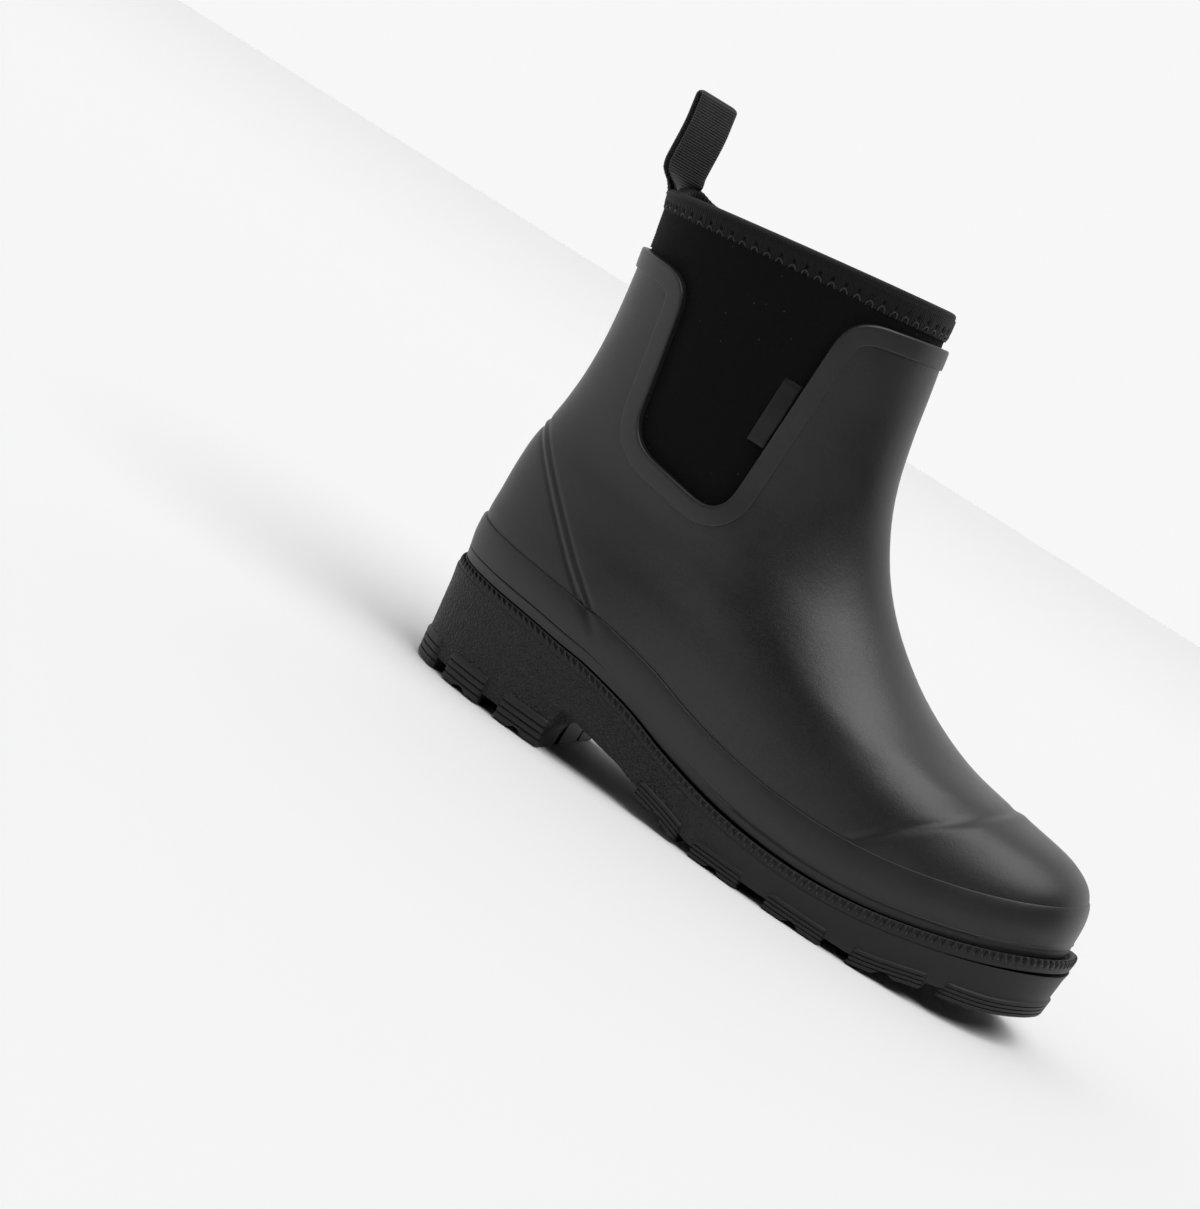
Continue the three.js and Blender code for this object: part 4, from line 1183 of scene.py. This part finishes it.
def make_lugs():
    """All lugs: those along both edges, the forefoot's chevrons, and the heel's pad and arcs."""
    parts = []
    for side in (-1, 1):
        for start, end in HEEL_LUGS:
            parts.append(edge_lug(start, end - 0.2 * (end == BREAST_AT), side, HEEL_LUG_INNER))
        for start, end in FORE_LUGS[:-1]:
            parts.append(edge_lug(start * SOLE_LENGTH, end * SOLE_LENGTH, side, FORE_LUG_INNER))
    parts.append(edge_lug(FORE_LUGS[-1][0] * SOLE_LENGTH, SOLE_LENGTH, 1, FORE_LUG_INNER, around_toe=True))
    gap = PAD_HALF / 4
    for start, end in FORE_LUGS[:-1]:
        a, b = start * SOLE_LENGTH, end * SOLE_LENGTH
        outline = [(a + gap, -PAD_HALF), (b - gap, -PAD_HALF), (b + gap, 0), (b - gap, PAD_HALF),
                   (a + gap, PAD_HALF), (a + 3 * gap, 0)]
        parts.append(slab(outline, tread_at, CHEVRON_TOP))
    half = math.pi / 2
    pad = np.concatenate([[(BREAST_AT, -PAD_HALF), (BREAST_AT, PAD_HALF)],
                          arc_points(PAD_HALF, half, 3 * half)])
    parts.append(slab(pad, level_floor, HEEL_LUG_DEPTH))
    for near, far in HEEL_ARCS[:2]:
        for side in (-1, 1):
            slot = 1.6 / near
            first = half + 0.5 if side > 0 else math.pi + slot
            last = math.pi - slot if side > 0 else 3 * half - 0.5
            outline = np.concatenate([arc_points(far, first, last), arc_points(near, last, first)])
            parts.append(slab(outline, level_floor, HEEL_LUG_DEPTH))
    points, faces = join_parts(parts)
    return finish_piece(add_mesh("outsole_lugs", points, faces, LUGS, smooth_angle=38),
                        "sole_rubber", "outsole")


def heel_rim():
    """The ribbed rim round the back of the heel."""
    first = float(angle_at(22, -1))
    count = HEEL_RIM_COLUMNS
    angles = np.linspace(-first, first, count)
    tuck = end_tuck(count)
    rows = []
    for t, cut in LUG_SECTION:
        height = np.full(count, t * (HEEL_LUG_DEPTH + LUG_LEDGE))
        rows.append(side_point(angles, height, LUG_LEDGE - cut - tuck))
    for share_in, up in ((0.10, 0), (0.28, 0), (0.30, 1.2), (0.30, 12)):
        p = rows[0].copy()
        p[:, 0] = lerp(p[:, 0], PAD_CENTRE, share_in)
        p[:, 1] = lerp(p[:, 1], 0, share_in)
        p[:, 2] = up
        rows.insert(0, p)
    points = np.concatenate(rows)
    faces = grid_faces(len(rows), count, around=False, flip=True).tolist()
    cap_ends(faces, len(rows), count, True)
    return finish_piece(add_mesh("heel_rim", points, faces, LUGS, smooth_angle=38), "sole_rubber", "outsole")


make_sole_body()
make_lugs()
heel_rim()
make_welt()
make_rand()
make_upper()
make_tape()
make_liner()
make_binding()
make_binding_stitches()
make_tag()
make_loop()

# The insole keeps its model's shape and takes a finished cloth
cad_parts["insole"].data.materials.clear()
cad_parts["insole"].data.materials.append(NEOPRENE)


# Floor, lights and camera
def camera_axes(azimuth, elevation, roll):
    """Image right, image up and the way from the object to the camera."""
    a, e, r = (math.radians(v) for v in (azimuth, elevation, roll))
    away = np.array([math.sin(a) * math.cos(e), -math.cos(a) * math.cos(e), math.sin(e)])
    level = np.array([math.cos(a), math.sin(a), 0])
    up = np.cross(away, level)
    right = level * math.cos(r) + up * math.sin(r)
    return right, np.cross(away, right), away


# The camera: its direction and roll in degrees, its distance, the lens in pixels of the whole picture, and
# the point of the boot that it shows at a place of the picture
RIGHT, UP, AWAY = camera_axes(14, 8.5, 31.5)
DISTANCE = 1246
LENS_PIXELS = 3261
PICTURE_WIDTH, PICTURE_HEIGHT = 1200, 1209
TARGET = np.array([140, 0, 90])
TARGET_X, TARGET_Y = 818, 636


def place_camera():
    scale = DISTANCE / LENS_PIXELS
    spot = (TARGET + AWAY * DISTANCE - RIGHT * (TARGET_X - PICTURE_WIDTH / 2) * scale
            + UP * (TARGET_Y - PICTURE_HEIGHT / 2) * scale)
    data = bpy.data.cameras.new("camera")
    data.sensor_width = 36
    data.sensor_fit = "AUTO"
    data.lens = LENS_PIXELS / PICTURE_HEIGHT * data.sensor_width
    camera = bpy.data.objects.new("camera", data)
    matrix = np.eye(4)
    matrix[:3, 0], matrix[:3, 1], matrix[:3, 2] = RIGHT, UP, AWAY
    matrix[:3, 3] = (spot + ORIGIN) * MM
    camera.matrix_world = Matrix(matrix.tolist())
    bpy.context.scene.collection.objects.link(camera)
    bpy.context.scene.camera = camera


def make_floor():
    """Pale floor and a pale backdrop that glows at the floor's own brightness, both left plain."""
    pale = Nodes("floor")
    pale.done(None, 0.9, None, specular_ior_level=0.1)
    pale.shader.inputs["Base Color"].default_value = (0.93, 0.93, 0.93, 1)
    size, behind, height = 9000, 2600, 6000
    points = [(-size, -size, 0), (size, -size, 0), (size, behind, 0), (-size, behind, 0)]
    floor = add_mesh("floor", points, [[0, 1, 2, 3]], pale.material, smooth_angle=0)
    glow = Nodes("backdrop")
    glow.done(None, 0.9, None, emission_strength=0.92)
    glow.shader.inputs["Base Color"].default_value = (0, 0, 0, 1)
    glow.shader.inputs["Emission Color"].default_value = (1, 1, 1, 1)
    points = [(-size, behind, -20), (size, behind, -20), (size, behind, height), (-size, behind, height)]
    backdrop = add_mesh("backdrop", points, [[0, 1, 2, 3]], glow.material, smooth_angle=0)
    backdrop.visible_diffuse = False


def make_world():
    """Soft light from behind on the heel's side, which fades toward the camera."""
    world = bpy.data.worlds.new("world")
    world.use_nodes = True
    nodes, links = world.node_tree.nodes, world.node_tree.links
    back = nodes["Background"]
    back.inputs["Color"].default_value = (1, 1, 1, 1)
    way = nodes.new("ShaderNodeTexCoord")
    aim = nodes.new("ShaderNodeVectorMath")
    aim.operation = "DOT_PRODUCT"
    aim.inputs[1].default_value = (-0.80, 0.50, 0.30)
    links.new(way.outputs["Generated"], aim.inputs[0])
    spread = nodes.new("ShaderNodeMapRange")
    spread.interpolation_type = "SMOOTHSTEP"
    for socket, value in (("From Min", -0.2), ("From Max", 0.7), ("To Min", 0.01), ("To Max", 0.65)):
        spread.inputs[socket].default_value = value
    links.new(aim.outputs["Value"], spread.inputs["Value"])
    links.new(spread.outputs["Result"], back.inputs["Strength"])
    bpy.context.scene.world = world


def overhead(name, toward, width, strength):
    """Wide soft light from far off: toward is the way to it, width how wide it looks in degrees."""
    data = bpy.data.lights.new(name, "SUN")
    data.angle = math.radians(width)
    data.energy = strength
    light = bpy.data.objects.new(name, data)
    light.rotation_mode = "QUATERNION"
    light.rotation_quaternion = Vector(toward).to_track_quat("Z", "Y")
    bpy.context.scene.collection.objects.link(light)


place_camera()
make_floor()
make_world()
overhead("overhead_light", (0.32, -0.24, 0.92), 54, 2.27)
bpy.context.scene.view_settings.view_transform = "Standard"
